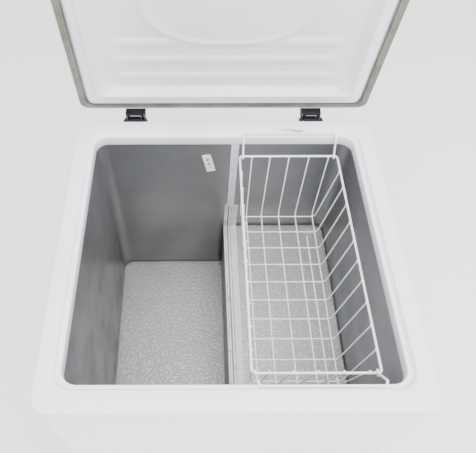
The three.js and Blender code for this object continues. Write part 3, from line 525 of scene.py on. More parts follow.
DIRT = tone(148, 132, 112)
RUST = tone(132, 92, 60)
# grey of the painted shade in the trim's creases
CREASE_SHADE = tone(126, 124, 120)


def painted_steel():
    paint = Finish("painted_steel", tone(243, 243, 247), 0.32, coat=0.25)
    paint.tint(paint.clouds(3.0, 0.45, 0.75), tone(226, 226, 230), 0.5)
    paint.tint(paint.clouds(38.0, 0.66, 0.72, stretch=(1.0, 1.0, 0.25)), tone(196, 194, 190), 0.35)
    paint.tint(paint.level(90, 34), tone(176, 170, 160), 0.35)
    paint.rough(paint.clouds(24.0, 0.3, 0.7), 0.27, 0.42)
    return paint.bump(paint.clouds(520.0, 0.2, 0.8, 2.0), 0.035).material


def frame_plastic():
    white = Finish("frame_plastic", tone(243, 243, 249), 0.38)
    white.tint(white.clouds(5.0, 0.42, 0.7), tone(236, 236, 244), 0.7)
    white.tint(white.clouds(26.0, 0.62, 0.76), tone(222, 220, 218), 0.4)
    white.tint(white.use(FLECKS, Scale=46.0, Size=0.035), tone(150, 140, 128), 0.35)
    white.tint(white.stain_and_light_patch((158, 277, RIM_TOP), (19, 5, 8)), RUST, 0.8)
    white.tint(white.stain_and_light_patch((136, 280, RIM_TOP), (28, 2.6, 8)), DIRT, 0.9)
    # painted shade: the inner lip face and the skirt below the ledge are greyed, where shade falls on faces
    # turned down and away from the light
    white.tint(white.level(RIM_TOP - 9, RIM_TOP - 26), tone(186, 186, 190), 0.5)
    white.rough(white.clouds(30.0, 0.3, 0.7), 0.34, 0.5)
    return white.bump(white.clouds(640.0, 0.25, 0.75, 2.0), 0.03).material


def liner_sheet():
    metal = Finish("liner_sheet", tone(142, 143, 145), 0.34, metallic=0.72)
    metal.tint(metal.clouds(3.2, 0.35, 0.65), tone(130, 132, 135), 0.8)
    metal.tint(metal.clouds(9.0, 0.45, 0.7, stretch=(1.0, 1.0, 0.6)), tone(152, 154, 156), 0.35)
    # painted shade: the walls darken towards the bottom of the well, where less light reaches
    metal.tint(metal.level(430, 120), tone(108, 107, 101), 0.55)
    metal.tint(metal.clouds(90.0, 0.68, 0.74), tone(190, 190, 188), 0.22)
    metal.tint(metal.stain_and_light_patch((-262, 266, 124), (14, 14, 22), 60.0), RUST, 0.6)
    # painted highlight: a broad lighter patch on the rear wall around the step's height stands in for light
    # falling there
    metal.tint(metal.stain_and_light_patch((140, 269, STEP_TOP), (190, 40, 120), 9.0), tone(196, 196, 194), 0.4)
    metal.rough(metal.clouds(9.0, 0.3, 0.7), 0.28, 0.46)
    metal.bump(metal.clouds(7.0, 0.2, 0.8, 3.0), 0.35)
    return metal.bump(metal.clouds(420.0, 0.3, 0.7, 2.0), 0.03).material


def stucco_sheet():
    metal = Finish("stucco_sheet", tone(170, 171, 172), 0.44, metallic=0.4)
    leaf = metal.use(STUCCO, "Leaf", Scale=92.0)
    height = metal.use(STUCCO, "Height", Scale=92.0)
    metal.tint(metal.clouds(6.0, 0.4, 0.68), tone(162, 162, 160), 0.7)
    # painted shade and highlight: the raised facets of the embossing are lighter and the grooves between them
    # darker
    metal.tint(leaf, tone(190, 191, 192), 0.45)
    metal.tint(metal.use(FLECKS, Scale=105.0, Size=0.17), tone(122, 120, 114), 0.65)
    # painted glints: small white flecks stand in for light caught by facets of the embossed sheet
    metal.tint(metal.use(FLECKS, Scale=150.0, Size=0.16), tone(238, 238, 238), 0.5)
    metal.tint(metal.clouds(60.0, 0.62, 0.7), tone(160, 154, 142), 0.3)
    metal.tint(metal.stain_and_light_patch((-262, 266, WELL_FLOOR), (26, 9, 12), 50.0), RUST, 0.7)
    metal.tint(metal.stain_and_light_patch((STEP_X - 3, 266, WELL_FLOOR), (9, 12, 20), 50.0), RUST, 0.75)
    metal.tint(metal.stain_and_light_patch((STEP_X - 1, 20, WELL_FLOOR), (4, 260, 12), 40.0), DIRT, 0.7)
    metal.tint(metal.stain_and_light_patch((STEP_X + 26, 266, STEP_TOP), (16, 8, 12), 60.0), RUST, 0.5)
    metal.rough(leaf, 0.5, 0.38)
    return metal.bump(height, 0.46, 0.85).material


def wall_of_step():
    metal = Finish("step_wall", tone(140, 140, 138), 0.5, metallic=0.5)
    metal.tint(metal.clouds(5.0, 0.4, 0.65), tone(118, 117, 112), 0.7)
    # painted shade: the step wall darkens towards the well floor, where shade gathers at the foot of the well
    metal.tint(metal.level(STEP_TOP - 30, WELL_FLOOR), tone(100, 97, 90), 0.55)
    metal.tint(metal.clouds(70.0, 0.62, 0.7), tone(166, 164, 158), 0.4)
    return metal.bump(metal.clouds(9.0, 0.2, 0.8, 3.0), 0.4).material


def lid_plastic():
    white = Finish("lid_plastic", tone(238, 238, 245), 0.36, coat=0.1)
    white.tint(white.clouds(4.0, 0.4, 0.7), tone(224, 224, 232), 0.7)
    white.tint(white.clouds(44.0, 0.64, 0.74), tone(206, 204, 202), 0.3)
    white.rough(white.clouds(18.0, 0.3, 0.7), 0.3, 0.46)
    return white.bump(white.clouds(700.0, 0.25, 0.75, 2.0), 0.02).material


def gasket_vinyl():
    vinyl = Finish("gasket_vinyl", tone(122, 123, 114), 0.55)
    vinyl.tint(vinyl.clouds(20.0, 0.42, 0.66), tone(92, 92, 84), 0.7)
    vinyl.tint(vinyl.clouds(150.0, 0.6, 0.7), tone(84, 82, 74), 0.5)
    vinyl.rough(vinyl.clouds(60.0, 0.3, 0.7), 0.45, 0.7)
    return vinyl.bump(vinyl.clouds(300.0, 0.3, 0.7, 3.0), 0.06).material


# the last argument sets how strong the dirt, the rust and the grey flange band are, and also the painted
# shade in the creases
def trim_plastic(name, colour, grime_and_shade):
    trim = Finish(name, colour, 0.42)
    trim.tint(trim.clouds(30.0, 0.42, 0.66, stretch=(1.0, 0.15, 1.0)), tone(196, 196, 196), 0.6)
    trim.tint(trim.clouds(80.0, 0.58, 0.68), DIRT, 0.3 + 0.3 * grime_and_shade)
    trim.tint(trim.level(STEP_X + 13.6, STEP_X + 15.2, (1.0, 0.0, 0.0)), tone(194, 196, 198), grime_and_shade)
    # painted shade: thin grey lines along the feet of the ridges and in the groove, where shade falls in the
    # creases
    for foot, darkness in ((2.0, 1.0), (8.1, 1.4), (14.6, 1.2)):
        trim.tint(trim.stain_and_light_patch((STEP_X + foot, 0, STEP_TOP), (1.7, 900, 900), 30.0), CREASE_SHADE, darkness * grime_and_shade)
    trim.tint(trim.stain_and_light_patch((STEP_X + 12, 250, STEP_TOP + 2), (18, 60, 16), 40.0), RUST, 0.35 * grime_and_shade)
    return trim.bump(trim.clouds(400.0, 0.3, 0.7, 2.0), 0.03).material


def wire_coat():
    coat = Finish("wire_coat", tone(240, 240, 244), 0.3, coat=0.2)
    coat.tint(coat.clouds(40.0, 0.5, 0.72), tone(222, 222, 224), 0.6)
    coat.tint(coat.clouds(130.0, 0.7, 0.76), tone(178, 164, 146), 0.4)
    return coat.bump(coat.clouds(900.0, 0.3, 0.7, 2.0), 0.03).material


def plain(name, colour, roughness, metallic=0.0, grain=300.0, depth=0.03, second=0.8, coat=0.0):
    """Finish with a soft change of tone, a change of gloss and a fine grain."""
    finish = Finish(name, colour, roughness, metallic, coat)
    darker = tuple(channel * second for channel in colour[:3]) + (1.0,)
    finish.tint(finish.clouds(16.0, 0.4, 0.68), darker, 0.8)
    finish.rough(finish.clouds(28.0, 0.3, 0.7), roughness * 0.85, min(roughness * 1.2, 1.0))
    return finish.bump(finish.clouds(grain, 0.25, 0.75, 3.0), depth).material


def galvanised():
    zinc = Finish("galvanised", tone(172, 176, 180), 0.42, metallic=0.8)
    zinc.tint(zinc.use(FLECKS, Scale=48.0, Size=0.5), tone(196, 200, 204), 0.6)
    zinc.tint(zinc.clouds(11.0, 0.45, 0.7), tone(142, 146, 150), 0.5)
    zinc.rough(zinc.use(FLECKS, Scale=31.0, Size=0.5), 0.38, 0.55)
    return zinc.bump(zinc.clouds(200.0, 0.3, 0.7, 2.0), 0.03).material


def sticker_paper():
    paper = Finish("sticker_paper", tone(240, 240, 236), 0.6)
    middle = centre_of("wall_label")
    marks = (((-3, 0, 11), (5.5, 3, 7)), ((1, 0, -3), (5, 3, 8)), ((5, 0, -14), (4, 3, 5)))
    for shift, size in marks:
        paper.tint(paper.stain_and_light_patch(middle + Vector(shift), size, 160.0), tone(96, 94, 90), 0.75)
    paper.tint(paper.clouds(60.0, 0.5, 0.7), tone(214, 214, 208), 0.6)
    return paper.bump(paper.clouds(260.0, 0.3, 0.7, 3.0), 0.08).material


PAINT = painted_steel()
FRAME_WHITE = frame_plastic()
LINER = liner_sheet()
STUCCO_METAL = stucco_sheet()
STEP_WALL = wall_of_step()
LID_WHITE = lid_plastic()
VINYL = gasket_vinyl()
TRIM_LIGHT = trim_plastic("trim_light", tone(240, 238, 236), 0.6)
TRIM_DARK = trim_plastic("trim_dark", tone(112, 96, 82), 1.0)
GUIDE_WHITE = trim_plastic("guide_white", tone(228, 228, 240), 0.0)
WIRE = wire_coat()
ZINC = galvanised()
PAPER = sticker_paper()
BLACK = plain("black_paint", tone(24, 25, 27), 0.45, grain=420.0, second=1.6)
STEEL = plain("bright_steel", tone(190, 193, 197), 0.28, 0.9, grain=500.0)
SPRING = plain("spring_steel", tone(150, 153, 158), 0.35, 0.8, grain=500.0)
COPPER = plain("copper_pipe", tone(184, 116, 78), 0.34, 0.9, grain=300.0, second=0.6)
RUBBER = plain("black_rubber", tone(30, 30, 31), 0.8, grain=260.0, depth=0.06, second=1.5)
FOOT = plain("foot_plastic", tone(36, 37, 39), 0.55, grain=380.0, depth=0.05, second=1.4)
PANEL = plain("panel_plastic", tone(150, 152, 156), 0.5, grain=480.0, depth=0.04)
KNOB = plain("knob_plastic", tone(232, 232, 236), 0.38, grain=520.0, second=0.92)
GREY = plain("grey_plastic", tone(146, 148, 150), 0.5, grain=380.0)
FOAM = plain("foam", tone(226, 206, 150), 0.9, grain=160.0, depth=0.5, second=0.85)
SEALANT = plain("sealant", tone(176, 174, 166), 0.5, grain=120.0, depth=0.2, second=0.75)
LAMPS = {
    "power_lamp": plain("lamp_green", tone(44, 158, 78), 0.2, grain=200.0, depth=0.01, coat=0.4),
    "running_lamp": plain("lamp_red", tone(186, 44, 36), 0.2, grain=200.0, depth=0.01, coat=0.4),
}

# ---------------------------------------------------------------- cabinet shell


def top_frame():
    """Moulded ring: skirt, flat sealing band, riser, ledge for the basket and the lip."""
    skirt_foot = RIM_TOP - 22
    lip_foot = RIM_TOP - 30
    # in from the side, back and front faces, the height, and the corner radius there
    edge = [
        (0, 0, 0, skirt_foot, CORNER),
        (0, 0, 0, RIM_TOP, CORNER),
        (27.3, 28, 34.5, RIM_TOP, 30),
        (31.2, 32, 38, LEDGE_TOP, 29),
        (34.4, 35.2, 41, LEDGE_TOP - 0.8, 28),
        (36, 36.6, 42.2, LEDGE_TOP + 1.0, 27),
        (38.6, 39.3, 44.7, LEDGE_TOP + 0.6, 26),
        (38.6, 39.3, 44.7, lip_foot, 26),
        (36.8, 37.5, 42.9, lip_foot, 27),
        (36.8, 37.5, 42.9, LEDGE_TOP - 2.4, 27),
        (29.8, 30.6, 36.6, LEDGE_TOP - 2.4, 29),
        (25.5, 26.2, 32.7, RIM_TOP - 2.4, 30),
        (2.5, 2.5, 2.5, RIM_TOP - 2.4, CORNER - 2.5),
        (2.5, 2.5, 2.5, skirt_foot, CORNER - 2.5),
    ]
    rings = [outline(p[:3], p[4], p[3]) for p in bent(edge, 3.4, 4, closed=True)]
    make("top_frame_moulding", loft(rings, ringed=True), FRAME_WHITE, slot="frame_plastic",
         replaces=["top_frame"])


WRAP_INSET = 3
WRAP_RADIUS = CORNER - WRAP_INSET
PANEL_EDGE = span("rear_panel")[1].x
# from, to, foot and top of each window, across from the middle of its face
CONTROL_WINDOW = (160, 280, 82, 118)
DRAIN_WINDOW = (-189, -171, 65, 83)
GRILLE_WINDOW = (-60, 190, 76, 206)


def wrap_runs():
    """The wrap's outline from the rear left round to the rear right: length, place and heading."""
    half_x, half_y = HALF_WIDTH - WRAP_INSET, HALF_DEPTH - WRAP_INSET
    x, y = half_x - WRAP_RADIUS, half_y - WRAP_RADIUS
    rear = x - PANEL_EDGE
    quarter = WRAP_RADIUS * math.pi / 2
    return [
        (rear, (-PANEL_EDGE, half_y), (-1, 0)),
        (quarter, (-x, y), 90),
        (2 * y, (-half_x, y), (0, -1)),
        (quarter, (-x, -y), 180),
        (2 * x, (-x, -half_y), (1, 0)),
        (quarter, (x, -y), 270),
        (2 * y, (half_x, -y), (0, 1)),
        (quarter, (x, y), 0),
        (rear, (x, half_y), (-1, 0)),
    ]


def wrap_place(u, z):
    """Point of the outer wrap at a distance u along its outline."""
    for length, (x, y), heading in wrap_runs():
        if u <= length + 1e-6:
            break
        u -= length
    if isinstance(heading, tuple):
        return (x + heading[0] * u, y + heading[1] * u, z)
    angle = math.radians(heading) + u / WRAP_RADIUS
    return (x + WRAP_RADIUS * math.cos(angle), y + WRAP_RADIUS * math.sin(angle), z)


def outer_wrap():
    """One folded sheet with windows for the controls, the drain and the side grille."""
    lengths = [run[0] for run in wrap_runs()]
    stops = [sum(lengths[:k]) for k in range(len(lengths) + 1)]
    front_middle = (stops[4] + stops[5]) / 2
    right_middle = (stops[6] + stops[7]) / 2
    cuts = ((front_middle, CONTROL_WINDOW), (front_middle, DRAIN_WINDOW), (right_middle, GRILLE_WINDOW))
    windows = [(middle + a, middle + b, foot, top) for middle, (a, b, foot, top) in cuts]
    across = set(stops) | {edge for window in windows for edge in window[:2]}
    for k in (1, 3, 5, 7):
        across |= {mix(stops[k], stops[k + 1], i / 10) for i in range(11)}
    up = {WRAP[0].z, 40, WRAP[1].z} | {edge for window in windows for edge in window[2:]}

    def is_open(u, z):
        return any(a < u < b and foot < z < top for a, b, foot, top in windows)

    shape = sheet(stations(*sorted(across), step=40), stations(*sorted(up), step=40), wrap_place, is_open)
    wrap = make("outer_wrap_sheet", shape, PAINT, slot="cabinet_steel", replaces=["outer_wrap"])
    thicken(wrap, SHEET)


REAR_WINDOW = (88, 252, 64, 232)
SWAGES = (-210, -130, -50, 30)
RIVET_HEIGHTS = (80, 200, 320, 440, 560)


def rear_panel():
    """Flat back with pressed swages and a window behind the compressor cover."""
    low, high = span("rear_panel")
    left, right, foot, top = REAR_WINDOW
    swage_foot, swage_top = 90, high.z - 60

    def place(x, z):
        lengthwise = ease((z - swage_foot) / 12) * ease((swage_top - z) / 12)
        rise = sum(1.4 * (1 - ease(abs(x - centre) / 9)) * lengthwise for centre in SWAGES)
        return (x, high.y + rise, z)

    across = {low.x, high.x, left, right}
    for centre in SWAGES:
        across |= {centre + 1.5 * k for k in range(-7, 8)}
    up = stations(low.z, foot, swage_foot, swage_foot + 12, top, swage_top - 12, swage_top, high.z, step=24)
    shape = sheet(stations(*sorted(across), step=30), up, place,
                  lambda x, z: left < x < right and foot < z < top)
    panel = make("rear_panel_sheet", shape, ZINC, slot="galvanised", replaces=["rear_panel"], smooth=60)
    thicken(panel, SHEET)
    rivet = [(0, 0), (4, 0), (3.6, 1.1), (2.2, 1.9), (0, 2.2)]
    rivets = Work()
    for x in (low.x + 12, high.x - 12):
        for z in RIVET_HEIGHTS:
            rivets.take(turned(rivet, (x, high.y, z), "y", 16))
    make("rear_panel_rivets", rivets, STEEL, slot="bright_steel")


# ---------------------------------------------------------------- liner


def liner_inset(z):
    up = (z - WELL_FLOOR) / (RIM_TOP - WELL_FLOOR)
    return [mix(foot, top, up) for foot, top in zip(LINER_FOOT, LINER_TOP)]


def liner_ring(z):
    """Outline of the liner with extra points where the step begins and along its faces."""
    side, back, front = liner_inset(z)
    corners = outline((side, back, front), LINER_CORNER, z, 10)
    ring = []
    for i, point in enumerate(corners):
        ring.append(point)
        after = corners[(i + 1) % len(corners)]
        if (Vector(after) - Vector(point)).length < 60:
            continue
        if abs(after[0] - point[0]) > 60:
            reach = min(abs(after[0]), abs(point[0])) - 4
            xs = sorted(x for x in [*range(-250, 251, 25), STEP_X + 2] if abs(x) < reach)
            ring += [(x, point[1], z) for x in (xs if after[0] > point[0] else xs[::-1])]
        else:
            ring += [(point[0], mix(point[1], after[1], k / 20), z) for k in range(1, 20)]
    return ring


def liner_walls():
    """Thin drafted walls, a little uneven, cut away where the step starts."""
    levels = stations(WELL_FLOOR - 2, STEP_TOP - 2, LINER_EDGE, step=22)
    rings = [liner_ring(z) for z in levels]
    count = len(rings[0])
    points, faces = [], []
    for ring in rings:
        for p in ring:
            push = waviness(p, 120, 0.5) * ease((LINER_EDGE - p[2]) / 60) * ease((p[2] - WELL_FLOOR) / 60)
            out = Vector((p[0] / HALF_WIDTH, p[1] / HALF_DEPTH, 0))
            axis = Vector((math.copysign(1, out.x), 0, 0))
            if abs(out.y) > abs(out.x):
                axis = Vector((0, math.copysign(1, out.y), 0))
            points.append(Vector(p) + axis * (push + 0.3))
    for j in range(len(rings) - 1):
        for i in range(count):
            k = (i + 1) % count
            a, b = j * count + i, j * count + k
            middle = (points[a] + points[b]) / 2
            if middle.x > STEP_X + 1 and levels[j + 1] < STEP_TOP - 1:
                continue
            faces.append([a, b, b + count, a + count])
    walls = make("liner_wall_sheet", (points, faces), LINER, slot="liner_aluminium",
                 replaces=["liner_walls"], smooth=50)
    thicken(walls, 0.8, offset=0)


def liner_reach(x, z):
    """Front and rear limits of the liner at one place across it."""
    side, back, front = liner_inset(z)
    over = max(0.0, abs(x) - (HALF_WIDTH - side - LINER_CORNER))
    pull = LINER_CORNER - math.sqrt(max(LINER_CORNER ** 2 - min(over, LINER_CORNER) ** 2, 0))
    return -HALF_DEPTH + front + pull, HALF_DEPTH - back - pull


def base_skin(name, section, finish, replaces=(), emboss=0.35, hole=None):
    """Sheet that follows a section across the cabinet and reaches both liner walls."""
    along = [k / 150 for k in range(151)]
    points = []
    for x, z in section:
        front, rear = liner_reach(x, z)
        for t in along:
            p = Vector((x, mix(front, rear, t), z))
            bumps = noise.noise(p / 7) * 0.6 + noise.noise(p / 3.1) * 0.4
            points.append(p + Vector((0, 0, emboss * bumps + waviness(p, 140, 0.8))))
    rows = len(along)
    faces = []
    for j in range(len(section) - 1):
        for i in range(rows - 1):
            quad = [j * rows + i, j * rows + i + 1, (j + 1) * rows + i + 1, (j + 1) * rows + i]
            centre = sum((points[k] for k in quad), Vector()) / 4
            if hole and (centre.xy - hole[0]).length < hole[1]:
                for k in quad:
                    away = points[k].xy - hole[0]
                    if away.length > hole[1] * 0.55:
                        points[k].xy = hole[0] + away.normalized() * hole[1]
                continue
            faces.append(quad)
    piece = make(name, (points, faces), finish, slot="base_aluminium", replaces=replaces, smooth=70)
    return thicken(piece, SHEET, offset=0)


def liner_base():
    """Well floor and step top in embossed sheet, with the plain step wall between them."""
    low, high = BASE[0].x, BASE[1].x
    hole = (centre_of("drain_plug").xy, 11.0)
    floor = [(x, WELL_FLOOR) for x in stations(low, STEP_X - 3, step=3.2)]
    base_skin("well_floor_sheet", floor + [(STEP_X - 0.9, WELL_FLOOR + 0.9)], STUCCO_METAL,
              ["liner_base"], hole=hole)
    top = [(x, STEP_TOP) for x in stations(STEP_X + 3, high, step=3.2)]
    base_skin("step_top_sheet", top, STUCCO_METAL)
    wall = [(STEP_X, WELL_FLOOR - 1), (STEP_X, WELL_FLOOR + 30)]
    wall += [(STEP_X, z) for z in stations(WELL_FLOOR + 50, STEP_TOP - 3, step=20)]
    wall += [(STEP_X + 1, STEP_TOP - 0.9), (STEP_X + 3.2, STEP_TOP - 0.1)]
    base_skin("step_wall_sheet", wall, STEP_WALL, emboss=0.05)


def well_seam():
    """Sealant run round the foot of the well and along the step wall."""
    level = WELL_FLOOR + 0.6
    left_end = -HALF_WIDTH + 75
    ring = [p for p in liner_ring(level) if p[0] < STEP_X]
    straight = sorted((p for p in ring if p[0] > left_end), key=lambda p: p[0])
    front = [p for p in straight if p[1] < 0]
    rear = [p for p in straight if p[1] >= 0][::-1]
    path = [(STEP_X, rear[0][1], level), *rear, *(p for p in ring if p[0] < left_end), *front]
    path += [(STEP_X, front[-1][1], level), (STEP_X, rear[0][1], level)]
    cleaned = [Vector(path[0])]
    for p in path[1:]:
        if (Vector(p) - cleaned[-1]).length > 2:
            cleaned.append(Vector(p))
    make("well_seam_sealant", tube(cleaned, 1.6, 8), SEALANT)


def step_patch():
    """Ragged lump of sealant in the rear right corner of the step."""
    centre = Vector((238, 252, STEP_TOP + 6))
    rows, columns = 18, 28
    points = [centre + Vector((0, 8, 8))]
    for j in range(1, rows + 1):
        fall = j / rows
        for i in range(columns):
            angle = 2 * math.pi * i / columns
            rag = 1 + 0.25 * noise.noise(Vector((math.cos(angle) * 1.7, math.sin(angle) * 1.7, fall)))
            across = Vector((math.cos(angle) * 19, math.sin(angle) * 17, 0)) * ease(fall) * rag
            height = 9 * (1 - ease(fall)) + 1.4 * noise.noise(Vector((across.x / 6, across.y / 6, 2)))
            points.append(centre + across + Vector((0, 0, height - 6)))
    faces = [[0, 1 + i, 1 + (i + 1) % columns] for i in range(columns)]
    for j in range(rows - 1):
        for i in range(columns):
            a = 1 + j * columns
            k = (i + 1) % columns
            faces.append([a + i, a + columns + i, a + columns + k, a + k])
    make("step_corner_patch", (points, faces), SEALANT, smooth=80)


TRIM_REACH = 31
TRIM_RIDGES = [
    (-1.6, -9.0),
    (-1.6, 1.4),
    (-0.6, 2.2),
    (1.6, 2.2),
    (2.4, 3.4),
    (5.8, 3.4),
    (6.8, 1.2),
    (9.4, 1.2),
    (10.2, 3.2),
    (13.2, 3.2),
    (14.4, 1.4),
    (TRIM_REACH, 1.1),
    (TRIM_REACH, 0.3),
    (-0.3, 0.3),
    (-0.3, -9.0),
]


def step_trim():
    """Ridged strip over the step's edge, turned up the rear wall to meet the guide."""
    front = -HALF_DEPTH + LINER_FOOT[2] + 2
    rear = HALF_DEPTH - LINER_FOOT[1] - 0.6
    guide_foot = span("divider_guide_rear")[0].z
    section = [(STEP_X + a, STEP_TOP + b) for a, b in TRIM_RIDGES]
    trim = make("step_trim_strip", extruded(section, front, rear, "y"), TRIM_LIGHT,
                slot="trim_plastic", replaces=["step_edge_trim"])
    soften(trim, 0.4)
    rise = [(STEP_X + a, rear - b) for a, b in TRIM_RIDGES if b > 0]
    end = make("step_trim_upstand", extruded(rise, STEP_TOP + 1.2, guide_foot - 0.5, "z"), TRIM_LIGHT,
               slot="trim_plastic")
    soften(end, 0.4)
    groove = Work()
    groove.take(block((STEP_X + 6.9, front + 1, STEP_TOP + 1.3), (STEP_X + 9.3, rear - 3, STEP_TOP + 1.9)))
    groove.take(block((STEP_X + 6.9, rear - 1.9, STEP_TOP + 4), (STEP_X + 9.3, rear - 1.3, guide_foot - 1)))
    make("step_trim_stained_joint", groove, TRIM_DARK, slot="trim_plastic")


def divider_guides():
    """Ribbed channels on the front and rear walls, in line with the step's edge."""
    for end, facing in (("rear", -1), ("front", 1)):
        low, high = span("divider_guide_" + end)
        wall = high.y if facing < 0 else low.y
        width = high.x - low.x
        ribs = [(0, 0), (0, 2.6), (1.4, 3.2), (2.6, 2.6), (3.2, 1.2), (0.42 * width, 1.2),
                (0.42 * width + 0.8, 3), (0.42 * width + 2.2, 3), (0.42 * width + 3, 1.2),
                (width - 3.2, 1.2), (width - 2.4, 2.8), (width, 2.4), (width, 0)]
        section = [(low.x + a, wall + facing * b) for a, b in ribs]
        guide = make("divider_channel_" + end, extruded(section, low.z, high.z, "z"), GUIDE_WHITE,
                     slot="guide_plastic", replaces=["divider_guide_" + end])
        soften(guide, 0.35)


def wall_label():
    """Blank paper sticker, a little lifted at one corner."""
    middle = centre_of("wall_label")
    lean = Matrix.Rotation(-math.radians(13), 4, "Y")
    half_width, half_height = 10, 28

    def place(a, b):
        lift = 1.6 * ease((a + b / 4 - 9) / 8) + 0.25 * noise.noise(Vector((a / 6, b / 9, 0)))
        return middle + lean @ Vector((a, 0, b)) - Vector((0, lift + 0.1, 0))

    across = [mix(-half_width, half_width, k / 16) for k in range(17)]
    up = [mix(-half_height, half_height, k / 40) for k in range(41)]
    label = make("wall_sticker", sheet(across, up, place), PAPER, slot="sticker", replaces=["wall_label"])
    thicken(label, 0.25, offset=0)


# ---------------------------------------------------------------- basket

FRAME_WIRE = 2.3
THIN_WIRE = 1.4
HOOPS = 10
CROSS_WIRES = [(60, 58), (99, 93), (139.5, 133), (182, 172), (224, 212)]
FLOOR_WIRE = 193
SPLAY = 3.5
BASKET_FOOT = {"left": 44, "right": 217, "front": -192, "rear": 198.5, "z": 440}


def hoop_places():
    """Where each hoop stands along the basket, a little uneven."""
    front, rear = BASKET_FOOT["front"], BASKET_FOOT["rear"]
    return [mix(front, rear, i / (HOOPS - 1)) + 0.9 * noise.noise(Vector((i, 3, 1))) for i in range(HOOPS)]


def basket():
    """Wire basket: a heavy frame, hoops from side to side and long wires from end to end."""
    left, front = BASKET[0].x + FRAME_WIRE, BASKET[0].y + FRAME_WIRE
    right, rear = BASKET[1].x - FRAME_WIRE, BASKET[1].y - FRAME_WIRE
    top = BASKET[1].z - FRAME_WIRE
    foot = BASKET_FOOT
    inward = FRAME_WIRE + THIN_WIRE - 0.5
    under = foot["z"] - 2 * THIN_WIRE + 0.5

    def splay(y):
        return SPLAY * (rear - y) / (rear - front)

    work = Work()
    corners = [(left - SPLAY, front, top), (right, front, top), (right, rear, top), (left, rear, top)]
    work.take(tube(bent(corners, 7, 6, closed=True), FRAME_WIRE, 14, closed=True))
    for y in hoop_places():
        hoop = [
            (left + inward - splay(y), y, top + 0.6),
            (foot["left"], y, foot["z"]),
            (foot["right"], y, foot["z"]),
            (right - inward + 1.4, y, top + 0.6),
        ]
        work.take(tube(bent(hoop, 11, 6), THIN_WIRE, 10))
    for top_x, floor_x in CROSS_WIRES:
        long_wire = [
            (top_x, rear - inward, top + 0.6),
            (floor_x, foot["rear"] + 7, under),
            (floor_x, foot["front"] - 7, under),
            (top_x, front + inward, top + 0.6),
        ]
        work.take(tube(bent(long_wire, 13, 6), THIN_WIRE, 10))
    short_wire = [
        (FLOOR_WIRE, mix(foot["front"], foot["rear"], 0.86), under),
        (FLOOR_WIRE, foot["front"] - 11, under),
        (FLOOR_WIRE + 17, foot["front"] - 15, under + 2),
        (FLOOR_WIRE + 18, foot["front"] + 6, under - 0.4),
    ]
    work.take(tube(bent(short_wire, 8, 6), THIN_WIRE, 10))
    make("basket_wires", work, WIRE, "basket", "coated_wire", ["basket"], smooth=60)

    places = []
    for y in hoop_places():
        places += [((floor_x, y, foot["z"] - 1.1), "z") for _, floor_x in CROSS_WIRES]
        places += [((left + 2 - splay(y), y, top - 0.4), "x"), ((right - 2, y, top - 0.4), "x")]
    for top_x, _ in CROSS_WIRES:
        places += [((top_x, rear - 2, top - 0.4), "y"), ((top_x, front + 2, top - 0.4), "y")]
    drop = [(0, -2.0), (1.9, -1.3), (2.3, 0), (1.9, 1.3), (0, 2.0)]
    welds = Work()
    for place, axis in places:
        welds.take(turned(drop, place, axis, 10))
    make("basket_welds", welds, WIRE, "basket", "coated_wire", smooth=80)


def bails():
    """Two wire bails hooked on the frame wire; their bars rest in the ledge of the top frame."""
    wire, hook = 2.2, 4.4
    for end, away, reach, shift in (("front", -1, 25, SPLAY + 2), ("rear", 1, 18.7, 0)):
        low, high = span("basket_handle_" + end)
        joint = next(j for j in frame["joints"] if j["child"] == end + "_bail")
        axle_y = (joint["pos_m"][1] - ORIGIN.y) / MM
        axle_z = joint["pos_m"][2] / MM
        bar_y = (low.y if away < 0 else high.y) - away * wire
        bar_z = high.z - wire
        shoulder_y, shoulder_z = axle_y + away * reach, LEDGE_TOP + wire + 0.3
        left, right = low.x + wire - shift, high.x - wire
        line = [
            (left, shoulder_y, shoulder_z),
            (left + 1, mix(shoulder_y, bar_y, 0.55), mix(shoulder_z, bar_z, 0.55)),
            (left + 3, bar_y, bar_z),
            (right - 3, bar_y, bar_z),
            (right - 1, mix(shoulder_y, bar_y, 0.55), mix(shoulder_z, bar_z, 0.55)),
            (right, shoulder_y, shoulder_z),
        ]

        def curl(x):
            turn = [math.radians(a) for a in range(200, -61, -20)]
            return [(x, axle_y - away * hook * math.cos(a), axle_z + hook * math.sin(a)) for a in turn]

        path = curl(left) + bent(line, 5, 4) + curl(right)[::-1]
        make("bail_" + end, tube(bent(path, 3, 3), wire, 12), WIRE, end + "_bail", "coated_wire",
             ["basket_handle_" + end], smooth=60)


# ---------------------------------------------------------------- lid

LID_TOP = LID[1].z
LID_FOOT = LID[0].z
SEAT = GASKET[1].z
CREST = RIM_TOP - 18.5
PANEL_LEVEL = RIM_TOP + 1


def lid_skin():
    """Pressed steel cover with a soft shoulder and a hem turned in at its foot."""
    profile = [
        (40, LID_TOP),
        (14, LID_TOP - 0.4),
        (8, LID_TOP - 1.2),
        (3.5, LID_TOP - 3),
        (1.2, LID_TOP - 6.5),
        (0.2, LID_TOP - 11),
        (0, LID_TOP - 16),
        (0, LID_FOOT + 1),
        (0.3, LID_FOOT + 0.2),
        (1.0, LID_FOOT),
        (1.6, LID_FOOT + 0.8),
        (1.4, LID_FOOT + 12),
    ]
    rings = [outline((d, d, d), max(CORNER - 0.35 * d, 10), z) for d, z in profile]
    points, faces = loft(rings, capped=False)
    faces.append(list(range(len(rings[0]))))
    make("lid_cover", (points, faces), PAINT, "lid", "lid_steel", ["lid_skin"], lid=True)


